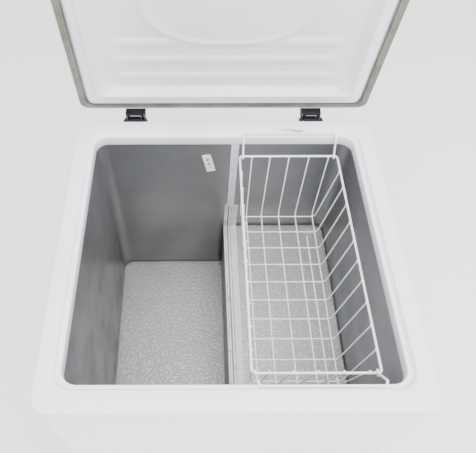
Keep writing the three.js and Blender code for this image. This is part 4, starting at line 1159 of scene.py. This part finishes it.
# in from the side, back and front edges, and the height there
LID_LEVELS = [
    (3, 3, 3, SEAT + 0.4),
    (18, 16.5, 18, SEAT + 0.4),
    (21, 18.5, 24, RIM_TOP + 4),
    (33, 37, 45, RIM_TOP + 1.6),
    (40.5, 47.5, 55, RIM_TOP - 1.4),
    (45, 59, 67, CREST + 2.5),
    (47, 61.5, 69, CREST),
    (50.5, 65, 73, CREST + 1),
    (64, 76, 85, PANEL_LEVEL),
    (90, 104, 112, PANEL_LEVEL),
]
PANEL_MIDDLE = 4.5
BEADS = (195.5, 152.5, 109.5)


def read_off(value, knots):
    """Straight-line reading of a table of pairs."""
    if value <= knots[0][0]:
        return knots[0][1]
    for (a, low), (b, high) in zip(knots, knots[1:]):
        if value <= b:
            return mix(low, high, (value - a) / (b - a))
    return knots[-1][1]


SIDE_HEIGHTS = [(level[0], level[3]) for level in LID_LEVELS]
BACK_TO_SIDE = [(level[1], level[0]) for level in LID_LEVELS]
FRONT_TO_SIDE = [(level[2], level[0]) for level in LID_LEVELS]


def lid_height(x, y):
    """Inner face of the lid: flange, crest, panel, cross beads and a large oval pad."""
    side = HALF_WIDTH - abs(x)
    end = read_off(HALF_DEPTH - y, BACK_TO_SIDE) if y > 0 else read_off(HALF_DEPTH + y, FRONT_TO_SIDE)
    blend = mix(13, 44, ease((min(side, end) - 46) / 26))
    near = max(blend - abs(side - end), 0) / blend
    d = min(side, end) - near * near * blend / 4
    z = sum(read_off(d + shift, SIDE_HEIGHTS) for shift in (-2.4, -0.8, 0.8, 2.4)) / 4
    along = abs(y - PANEL_MIDDLE)
    bead = max(ease((11.5 - abs(along - centre)) / 7) for centre in BEADS) * ease((222 - abs(x)) / 26)
    oval = ((abs(x) / 165) ** 2.5 + (along / 117) ** 2.5) ** 0.4
    pad = ease((1.0 - oval) / 0.05)
    return z - max(3.6 * bead, 7.0 * pad) + 2.4 * ease((0.93 - oval) / 0.08)


def lid_liner():
    """Vacuum-formed inner liner as one sheet."""
    levels = LID_LEVELS[:-1]
    sides = [level[0] for level in levels]
    xs = stations(*[d - HALF_WIDTH for d in sides], *[HALF_WIDTH - d for d in sides[::-1]], step=3.6)
    ys = stations(*[level[2] - HALF_DEPTH for level in levels],
                  *[HALF_DEPTH - level[1] for level in levels[::-1]], step=2.6)

    def place(y, x):
        over = max(0.0, abs(x) - (HALF_WIDTH - 24))
        reach = HALF_DEPTH - 24 + math.sqrt(max(21.0 ** 2 - min(over, 21) ** 2, 0))
        y *= reach / ys[-1]
        return (x, y, lid_height(x, y) + 0.8)

    liner = make("lid_inner_liner", sheet(ys, xs, place), LID_WHITE, "lid", "lid_liner_plastic",
                 ["lid_liner"], smooth=80, lid=True)
    thicken(liner, 1.4, offset=0)


def lid_gasket():
    """Magnetic seal: a face with two grooves on a folded bellows, narrow along the hinged edge."""
    face = GASKET[0].z
    section = [
        (3.6, SEAT),
        (3.8, SEAT - 3.4),
        (5.2, SEAT - 4.8),
        (3.4, SEAT - 6.8),
        (3.4, face + 0.9),
        (4.4, face),
        (6.6, face),
        (7.1, face + 1.1),
        (7.9, face),
        (11.2, face),
        (11.7, face + 1.1),
        (12.5, face),
        (14.8, face),
        (15.8, face + 1.0),
        (16.0, SEAT - 6.6),
        (14.4, SEAT - 4.8),
        (16.2, SEAT - 3.2),
        (16.4, SEAT),
    ]
    rings = []
    for d, z in section:
        back = mix(11.4, 15.0, (d - 3.4) / 13)
        rings.append(outline((d, back, d), mix(14, 20, (d - 3.4) / 13), z, 8))
    make("lid_seal", loft(rings, ringed=True), VINYL, "lid", "gasket_vinyl", ["lid_gasket"],
         smooth=28, lid=True)


def lid_grip():
    """Hooked pull along the front edge of the lid, with closed ends."""
    low, high = span("lid_handle", shut=True)
    front = high.y
    section = [
        (0, 652), (0, 692), (-8, 691.6), (-16, 688), (-21.7, 681), (-23.4, 668), (-22.8, 660), (-20, 656),
        (-17.4, 657), (-16, 662), (-15.4, 671), (-12, 674), (-5, 674.4), (-3.4, 671), (-3, 652),
    ]
    profile = bent([(front + a, b) for a, b in section], 2.2, 3, closed=True)
    work = Work()
    rings = []
    for x, share in ((low.x, 0.86), (low.x + 3, 0.97), (low.x + 8, 1), (high.x - 8, 1),
                     (high.x - 3, 0.97), (high.x, 0.86)):
        rings.append([(x, front + (p.x - front) * share, 672 + (p.y - 672) * share) for p in profile])
    work.take(loft(rings))
    make("lid_pull", work, FRAME_WHITE, "lid", "frame_plastic", ["lid_handle"], lid=True)


def slotted_disc(radius, height, slot, place, turn):
    """Small round head with a slot pressed into its face; slot gives the depth at a point."""
    rings, sides = 10, 40
    points = [Vector((0, 0, height - slot(0, 0)))]
    faces = []
    for j in range(1, rings + 1):
        r = radius * j / rings
        for k in range(sides):
            a = 2 * math.pi * k / sides
            x, y = r * math.cos(a), r * math.sin(a)
            crown = height * (1 - 0.35 * (j / rings) ** 4)
            points.append(Vector((x, y, crown - slot(x, y))))
    base = len(points)
    angles = [2 * math.pi * k / sides for k in range(sides)]
    points += [Vector((radius * math.cos(a), radius * math.sin(a), 0)) for a in angles]
    faces += [[0, 1 + k, 1 + (k + 1) % sides] for k in range(sides)]
    for j in range(rings):
        a = 1 + j * sides
        b = base if j == rings - 1 else a + sides
        for k in range(sides):
            n = (k + 1) % sides
            faces.append([a + k, b + k, b + n, a + n])
    faces.append([base + k for k in range(sides)])
    put = Matrix.Translation(Vector(place)) @ AXES[turn]
    return [put @ p for p in points], faces


def lock():
    """Barrel lock beside the handle: a bezel on the lid and a cylinder that turns."""
    centre = centre_of("lock_housing", shut=True)
    place = (centre.x, LID[0].y, centre.z)
    ring = [(6.9, 0.3), (15, 0.3), (15, 1.2), (13.6, 4.4), (12.6, 5), (8, 5), (6.9, 4.2), (6.9, 0.3)]
    make("lock_bezel", turned(ring, place, "-y", 48), STEEL, "lid", "bright_steel", ["lock_housing"],
         lid=True)

    def keyway(x, y):
        return 2.2 * ease((1.0 - abs(x)) / 0.5) * ease((4.2 - abs(y)) / 0.6)

    barrel = slotted_disc(6.5, 5.8, keyway, place, "-y")
    make("lock_barrel", barrel, STEEL, "lock", "bright_steel", ["lock_cylinder"], lid=True)


# ---------------------------------------------------------------- hinges


TONGUE_HALF = 18.2


def hinge_bracket(side):
    """Folded bracket on the cabinet's back with a tongue, a spring guard and its screws."""
    low, high = span("hinge_body_" + side)
    middle = (low.x + high.x) / 2
    bracket = Work()
    bracket.take(block((low.x, low.y, low.z), (high.x, low.y + 2.3, high.z - 17)))
    ear = [
        (low.y, 522), (low.y + 8, 530), (low.y + 14, 542), (HINGE_Y + 9, HINGE_Z - 9),
        (HINGE_Y + 9.5, HINGE_Z), (HINGE_Y + 7, HINGE_Z + 6), (HINGE_Y, HINGE_Z + 9),
        (HINGE_Y - 8, HINGE_Z + 7.5), (HINGE_Y - 12.6, HINGE_Z + 3), (HINGE_Y - 13, 614), (low.y, 614),
    ]
    for x in (low.x, high.x - 2.2):
        bracket.take(extruded(ear, x, x + 2.2, "x"))
    bracket.take(block((low.x + 2.2, low.y + 1, 600), (high.x - 2.2, HINGE_Y - 9, 603)))
    tongue = [
        (HINGE_Y - 11.2, 601), (HINGE_Y - 9.2, 601), (HINGE_Y - 9.2, HINGE_Z + 9.4),
        (HINGE_Y - 4, HINGE_Z + 9.4), (HINGE_Y - 4, HINGE_Z + 11.4), (HINGE_Y - 9, HINGE_Z + 11.4),
        (HINGE_Y - 11.2, HINGE_Z + 9),
    ]
    bracket.take(extruded(tongue, middle - TONGUE_HALF, middle + TONGUE_HALF, "x"))
    back = [(HINGE_Y - 6.2, 543), (HINGE_Y - 4.6, 542), (HINGE_Y + 9.2, 611), (HINGE_Y + 7.2, 611)]
    bracket.take(extruded(back, low.x + 1, high.x - 1, "x"))
    guard = [
        (HINGE_Y + 7.2, 606), (HINGE_Y + 9.2, 606), (HINGE_Y + 9.2, HINGE_Z + 13),
        (HINGE_Y + 7.2, HINGE_Z + 13),
    ]
    bracket.take(extruded(guard, middle - TONGUE_HALF, middle + TONGUE_HALF, "x"))
    soften(make("hinge_bracket_" + side, bracket, BLACK, slot="black_paint",
                replaces=["hinge_body_" + side]), 0.5)
    screws = Work()
    for z in (516, 548, 580):
        for x in (low.x + 13, high.x - 13):
            screws.take(slotted_disc(4, 1.9, cross_recess, (x, low.y + 2.3, z), "y"))
    make("hinge_screws_" + side, screws, STEEL, slot="bright_steel")


def hinge_shaft(side):
    """Pin with a flange at each end."""
    low, high = span("hinge_pin_" + side)
    length = high.x - low.x
    profile = [
        (0, 0), (3.6, 0), (4.8, 0.8), (5, 2.4), (3, 3), (3, length - 3), (5, length - 2.4),
        (4.8, length - 0.8), (3.6, length), (0, length),
    ]
    make("hinge_shaft_" + side, turned(profile, (low.x, HINGE_Y, HINGE_Z), "x", 28), STEEL,
         slot="bright_steel", replaces=["hinge_pin_" + side])


def hinge_coil(side):
    """Spring wound round the pin, with one straight leg over it."""
    low, high = span("hinge_spring_" + side)
    turns, per_turn, radius = 7, 20, 5.6
    count = turns * per_turn
    start, run = low.x + 1, high.x - low.x - 2
    path = []
    for i in range(count + 1):
        a = 2 * math.pi * i / per_turn
        path.append((start + run * i / count, HINGE_Y + radius * math.cos(a), HINGE_Z + radius * math.sin(a)))
    end = path[-1]
    leg_z = HINGE_Z + 12.4
    path += bent([end, (end[0], end[1], leg_z), (low.x + 1.2, end[1], leg_z)], 3)[1:]
    make("hinge_coil_" + side, tube(path, 1.1, 8), SPRING, slot="bright_steel",
         replaces=["hinge_spring_" + side], smooth=60)


def hinge_arm(side):
    """Leaf on the lid's back edge with two arms that reach the pin."""
    low, high = span("hinge_leaf_" + side, shut=True)
    plate_back = HALF_DEPTH + 0.3
    leaf = Work()
    leaf.take(block((low.x, plate_back, HINGE_Z + 8.6), (high.x, plate_back + 2.5, high.z)))
    arm = [
        (HINGE_Y - 7, HINGE_Z - 4), (HINGE_Y - 2, HINGE_Z - 7), (HINGE_Y + 4, HINGE_Z - 6.6),
        (HINGE_Y + 8, HINGE_Z), (HINGE_Y + 7, HINGE_Z + 8), (HALF_DEPTH + 6, 656), (HALF_DEPTH + 3, 664),
        (plate_back, 664), (plate_back, 646), (HINGE_Y - 9, HINGE_Z + 6),
    ]
    for x in (low.x, high.x - 2.6):
        leaf.take(extruded(arm, x, x + 2.6, "x"))
    soften(make("hinge_arm_" + side, leaf, BLACK, "lid", "black_paint", ["hinge_leaf_" + side],
                lid=True), 0.5)


def hinges():
    for side in ("left", "right"):
        hinge_bracket(side)
        hinge_shaft(side)
        hinge_coil(side)
        hinge_arm(side)


def cross_recess(x, y):
    """Depth of a cross recess at a point of a screw head."""
    bar = max(ease((0.75 - abs(x)) / 0.4) * ease((2.5 - abs(y)) / 0.5),
              ease((0.75 - abs(y)) / 0.4) * ease((2.5 - abs(x)) / 0.5))
    return 1.1 * bar


# ---------------------------------------------------------------- controls, vents, machine bay


KNOB_AT = centre_of("thermostat_knob")
LAMP_X = [centre_of(name).x for name in LAMPS]
PANEL_FACE = span("control_panel")[0].y


def control_fascia():
    """Grey plate with holes for the lamps and the thermostat's shaft, and rings round them."""
    low, high = span("control_panel")
    z = KNOB_AT.z
    lamp_half, shaft_half = 4.2, 5
    lamp_edges = [x + reach for x in LAMP_X for reach in (-lamp_half, lamp_half)]
    across = stations(low.x, *lamp_edges, KNOB_AT.x - shaft_half, KNOB_AT.x + shaft_half, high.x, step=12)
    up = stations(low.z, z - shaft_half, z - lamp_half, z + lamp_half, z + shaft_half, high.z, step=12)

    def is_open(x, height):
        in_lamp = any(abs(x - lamp) < lamp_half for lamp in LAMP_X) and abs(height - z) < lamp_half
        return in_lamp or (abs(x - KNOB_AT.x) < shaft_half and abs(height - z) < shaft_half)

    plate = make("control_fascia", sheet(across, up, lambda x, h: (x, PANEL_FACE + 0.2, h), is_open), PANEL,
                 slot="panel_plastic", replaces=["control_panel"])
    thicken(plate, high.y - low.y - 0.2)
    soften(plate, 0.8, 3)
    lamp_ring = [(4.0, -0.2), (6.2, -0.2), (6, 0.7), (4.6, 0.9), (4.0, 0.4), (4.0, -0.2)]
    knob_ring = [(17.4, -0.2), (19.4, -0.2), (19.2, 0.5), (17.8, 0.5), (17.4, -0.2)]
    rings = Work()
    for x in LAMP_X:
        rings.take(turned(lamp_ring, (x, PANEL_FACE + 0.1, z), "-y", 32))
    rings.take(turned(knob_ring, (KNOB_AT.x, PANEL_FACE + 0.1, z), "-y", 48))
    make("control_rings", rings, STEEL, slot="bright_steel")


def dial_ticks():
    """Eleven marks round the dial, the end and middle ones longer and wider."""
    ticks = Work()
    base = Vector((KNOB_AT.x, PANEL_FACE + 0.1, KNOB_AT.z))
    for k in range(11):
        angle = math.radians(225 - 27 * k)
        half_width, far = (0.5, 23) if k % 5 else (0.9, 24.4)
        out = Vector((math.cos(angle), 0, math.sin(angle)))
        side = Vector((-math.sin(angle), 0, math.cos(angle))) * half_width
        quad = [out * 20.6 - side, out * far - side, out * far + side, out * 20.6 + side]
        ticks.take(loft([[base + p for p in quad], [base + p + Vector((0, -0.25, 0)) for p in quad]]))
    make("dial_ticks", ticks, BLACK, slot="black_paint")


def dial():
    """Fluted knob on its shaft, with a pointer let into its face."""
    sides, grips = 96, 24
    rows = [(16.8, 0.5), (16.8, 2.2), (16.2, 3.2), (15.6, 11.6), (14.8, 12.9), (13.4, 13.4)]
    x, z = KNOB_AT.x, KNOB_AT.z
    rings = []
    for radius, height in rows:
        ring = []
        for k in range(sides):
            a = 2 * math.pi * k / sides
            flute = 0.7 * (0.5 + 0.5 * math.cos(grips * a)) if 3 < height < 13.2 else 0
            r = radius - flute
            ring.append((x + r * math.cos(a), PANEL_FACE - height, z + r * math.sin(a)))
        rings.append(ring)
    knob = Work()
    knob.take(loft(rings))
    knob.take(turned([(0, -14), (3.9, -14), (3.9, 0.6), (0, 0.6)], (x, PANEL_FACE, z), "-y", 24))
    make("thermostat_dial", knob, KNOB, "knob", "knob_plastic", ["thermostat_knob"])
    pointer = block((x - 0.9, PANEL_FACE - 13.5, z + 3), (x + 0.9, PANEL_FACE - 13.2, z + 12.6))
    make("dial_pointer", pointer, BLACK, "knob", "black_paint")


def lamps():
    lens = [(0, -8), (3.5, -8), (3.5, 0.2), (3.1, 1.3), (1.8, 2), (0, 2.2)]
    for name, slot, x in zip(LAMPS, ("lamp_green", "lamp_red"), LAMP_X):
        make(name + "_lens", turned(lens, (x, PANEL_FACE, KNOB_AT.z), "-y", 32), LAMPS[name], slot=slot,
             replaces=[name])


def side_grille():
    """Moulded grille: a rounded frame with sloping louvres."""
    low, high = span("side_grille")
    work = Work()
    border, slats = 13, 10
    foot, top = low.z + border, high.z - border
    near, far = low.y + border + 2, high.y - border - 2
    x0, x1 = low.x, high.x
    face = x1 - 0.3
    work.take(block((x0, low.y, low.z), (face, high.y, foot)))
    work.take(block((x0, low.y, top), (face, high.y, high.z)))
    work.take(block((x0, low.y, foot), (face, near, top)))
    work.take(block((x0, far, foot), (face, high.y, top)))
    pitch = (high.z - low.z - 2 * border) / slats
    for k in range(slats):
        z = foot + pitch * (k + 0.5)
        slat = [
            (x0 - 5, z + 3.4), (x0 - 4.2, z + 4.2), (x1 - 0.6, z - 2.2), (x1 - 0.6, z - 4.2),
            (x1 - 1.6, z - 4),
        ]
        work.take(extruded(slat, near, far, "y"))
    middle_y = (low.y + high.y) / 2
    work.take(block((x0 - 1, middle_y - 2, foot), (x1 - 2, middle_y + 2, top)))
    grille = make("side_louvre_grille", work, FRAME_WHITE, slot="frame_plastic", replaces=["side_grille"])
    soften(grille, 0.7, 3)


def compressor_cover():
    """Pressed cover with hooded slots and a rolled edge."""
    low, high = span("compressor_cover")
    slot_left, slot_right, slot_height = 112, 228, 6
    slot_feet = [104 + 20 * i for i in range(6)]

    def place(x, z):
        along = ease((x - slot_left + 4) / 6) * ease((slot_right + 4 - x) / 6)
        hood = max(ease((z - foot) / 5) * ease((foot + slot_height + 8 - z) / 7) for foot in slot_feet)
        return (x, high.y - 0.2 + 3.2 * along * hood, z)

    across = {low.x, high.x}
    for edge, outward in ((slot_left, -1), (slot_right, 1)):
        across |= {edge + outward * reach for reach in (-2, 0, 2, 4)}
    up = {low.z, high.z}
    for foot in slot_feet:
        up |= {foot - 0.01} | {foot + reach for reach in (2, 4, 6, 8, 10, 12, 14)}

    def is_open(x, z):
        return slot_left < x < slot_right and any(foot - 0.01 < z < foot + 2 for foot in slot_feet)

    shape = sheet(stations(*sorted(across), step=14), stations(*sorted(up), step=10), place, is_open)
    cover = make("compressor_cover_sheet", shape, ZINC, slot="galvanised", replaces=["compressor_cover"],
                 smooth=50)
    thicken(cover, 1.0)
    for i in range(1, 5):
        node_name = f"cover_screw_{i}"
        centre = centre_of(node_name)
        place_at = (centre.x, span(node_name)[0].y, centre.z)
        make(f"cover_screw_head_{i}", slotted_disc(4.5, 2.4, cross_recess, place_at, "y"), STEEL,
             slot="bright_steel", replaces=[node_name])


def compressor():
    """Compressor pot with its terminal boss, on a foot plate with four grommets."""
    low, high = span("compressor")
    middle = (low + high) / 2
    foot = low.z - 16.3
    pot = [
        (0, 20), (40, 20), (56, 23), (66, 32), (70.4, 46), (71.6, 60), (72, 90), (74.4, 91), (74.4, 95),
        (72, 96), (71, 128), (68, 138), (60, 149), (46, 158), (24, 163.6), (0, 165.4),
    ]
    boss = [(0, 0), (9, 0), (9, 5), (7, 7), (0, 7)]
    work = Work()
    work.take(turned(pot, (middle.x, middle.y, foot), "z", 56))
    work.take(turned(boss, (middle.x, middle.y - 71, foot + 88), "-y", 24))
    make("compressor_pot", work, BLACK, slot="black_paint", replaces=["compressor"], smooth=50)
    x, y = (high.x - low.x) / 2, 44
    plate = bent([(-x, -y), (x, -y), (x, y), (-x, y)], 12, 5, closed=True)
    foot_plate = extruded([(middle.x + p.x, middle.y + p.y) for p in plate], foot + 16.5, foot + 20.1, "z")
    soften(make("compressor_foot_plate", foot_plate, BLACK, slot="black_paint"), 0.6)
    for i in range(1, 5):
        low, high = span(f"compressor_grommet_{i}")
        tall = high.z - low.z
        ring = [
            (0, 0), (10.6, 0), (11, 1), (11, 3.4), (8.2, 5.4), (8.2, 9.4), (11, 11.6), (11, tall - 0.8),
            (10, tall), (0, tall),
        ]
        place = ((low.x + high.x) / 2, (low.y + high.y) / 2, low.z)
        make(f"grommet_{i}", turned(ring, place, "z", 28), RUBBER, slot="black_rubber",
             replaces=[f"compressor_grommet_{i}"])


def machine_bay():
    """Relay housing, cable gland and filter drier."""
    box = make("relay_housing", block(*span("relay_box")), GREY, slot="relay_plastic", replaces=["relay_box"])
    soften(box, 3, 4)
    low, high = span("mains_gland")
    ring = [
        (3.9, -5), (7.3, -5), (7.3, 2.2), (10.4, 2.2), (10.2, 4.4), (9, 6.4), (7.6, 10), (7.9, 10.6),
        (6.9, 13), (7.1, 13.6), (5.7, 17.6), (3.9, 18), (3.9, -5),
    ]
    gland = turned(ring, ((low.x + high.x) / 2, low.y + 5, (low.z + high.z) / 2), "y", 36)
    make("mains_entry_gland", gland, RUBBER, slot="black_rubber", replaces=["mains_gland"])
    low, high = span("filter_drier")
    pipe = [
        (0, 0), (2.2, 0), (2.4, 12), (4, 16), (7.4, 20), (8, 24), (8, 80), (7.4, 84), (4, 88), (2.4, 92),
        (2.2, 104), (0, 104),
    ]
    shell = turned(pipe, ((low.x + high.x) / 2, (low.y + high.y) / 2, low.z), "z", 28)
    make("drier_shell", shell, COPPER, slot="copper_pipe", replaces=["filter_drier"])


def drain():
    """Rubber plug in the well floor and the outlet cap on the front."""
    centre = centre_of("drain_plug")
    plug = [
        (0, -9.8), (4.8, -9.8), (5.3, -9), (5.6, 0.3), (14.2, 0.3), (14.9, 1.0), (14.9, 2.0), (13.4, 2.6),
        (5, 3.2), (3.8, 4), (3.2, 6), (3.4, 8.6), (2.6, 9.9), (0, 10),
    ]
    make("drain_stopper", turned(plug, (centre.x, centre.y, WELL_FLOOR), "z", 40), RUBBER, "plug",
         "black_rubber", ["drain_plug"])
    centre = centre_of("drain_cap")
    place = (centre.x, -HALF_DEPTH + 3, centre.z)
    cap = [
        (0, -3), (5.4, -3), (5.6, 0.3), (13.4, 0.3), (14, 0.9), (14, 4), (13.2, 5.6), (11.6, 6.8), (9, 7),
        (8, 6.2), (0, 6),
    ]
    make("drain_outlet_cap", turned(cap, place, "-y", 40), FRAME_WHITE, "cap", "frame_plastic", ["drain_cap"])
    collar = [(6.8, -2), (13.4, -2), (13.4, 0.2), (9, 0.26), (6.8, 0.1), (6.8, -2)]
    make("drain_collar", turned(collar, place, "-y", 40), GREY, slot="drain_plastic")


def feet():
    for place in ("front_left", "front_right", "rear_left", "rear_right"):
        low, high = span("foot_" + place)
        middle = (low + high) / 2
        tall = high.z
        ring = [
            (0, 0.6), (15, 0.6), (17, 0), (21.4, 0), (23.2, 1.2), (23.8, 3), (22.6, 5), (18.4, 10),
            (17, 16), (17, tall - 8), (18.6, tall - 5), (22, tall - 3), (22, tall), (0, tall),
        ]
        make("levelling_foot_" + place, turned(ring, (middle.x, middle.y, 0), "z", 40), FOOT,
             slot="foot_plastic", replaces=["foot_" + place])


# ---------------------------------------------------------------- CAD nodes that stay

KEPT = {
    "base_pan": ZINC,
    "evaporator_coil": COPPER,
    "condenser_coil": COPPER,
    "insulation_foam": FOAM,
    "drain_tube": GREY,
    "thermostat_body": ZINC,
    "discharge_line": COPPER,
    "suction_line": COPPER,
    "lid_foam": FOAM,
}


def dress_kept_nodes():
    for name, finish in KEPT.items():
        piece = frame["nodes"][name]
        piece.data.materials.clear()
        piece.data.materials.append(finish)


# ---------------------------------------------------------------- studio


def studio():
    floor_finish = bpy.data.materials.new("studio_floor")
    floor_finish.use_nodes = True
    skin = floor_finish.node_tree.nodes["Principled BSDF"]
    skin.inputs["Base Color"].default_value = (0.94, 0.94, 0.94, 1)
    skin.inputs["Roughness"].default_value = 0.9
    mesh = bpy.data.meshes.new("studio_floor")
    reach = 9.0
    corners = [(-reach, -reach, 0), (reach, -reach, 0), (reach, reach, 0), (-reach, reach, 0)]
    mesh.from_pydata(corners, [], [[0, 1, 2, 3]])
    mesh.materials.append(floor_finish)
    floor = bpy.data.objects.new("studio_floor", mesh)
    bpy.context.scene.collection.objects.link(floor)

    world = bpy.context.scene.world or bpy.data.worlds.new("studio")
    bpy.context.scene.world = world
    world.use_nodes = True
    world.node_tree.nodes["Background"].inputs["Color"].default_value = (1, 1, 1, 1)
    world.node_tree.nodes["Background"].inputs["Strength"].default_value = 1.65

    soft_boxes = {
        "overhead": ((0.1, -0.5, 3.1), (0, 0.05, 0.4), 2.6, 118),
        "front_fill": ((-0.2, -3.0, 1.7), (0, 0, 0.5), 2.2, 64),
        "right_fill": ((2.6, -0.3, 2.3), (-0.3, 0, 0.4), 1.6, 64),
    }
    for name, (place, aim, size, power) in soft_boxes.items():
        light = bpy.data.lights.new(name, "AREA")
        light.size = size
        light.energy = power
        lamp = bpy.data.objects.new(name, light)
        lamp.location = place
        lamp.rotation_euler = (Vector(aim) - Vector(place)).to_track_quat("-Z", "Y").to_euler()
        bpy.context.scene.collection.objects.link(lamp)


top_frame()
outer_wrap()
rear_panel()
liner_walls()
liner_base()
well_seam()
step_patch()
step_trim()
divider_guides()
wall_label()
basket()
bails()
lid_skin()
lid_liner()
lid_gasket()
lid_grip()
lock()
hinges()
control_fascia()
dial_ticks()
dial()
lamps()
side_grille()
compressor_cover()
compressor()
machine_bay()
drain()
feet()
dress_kept_nodes()
studio()
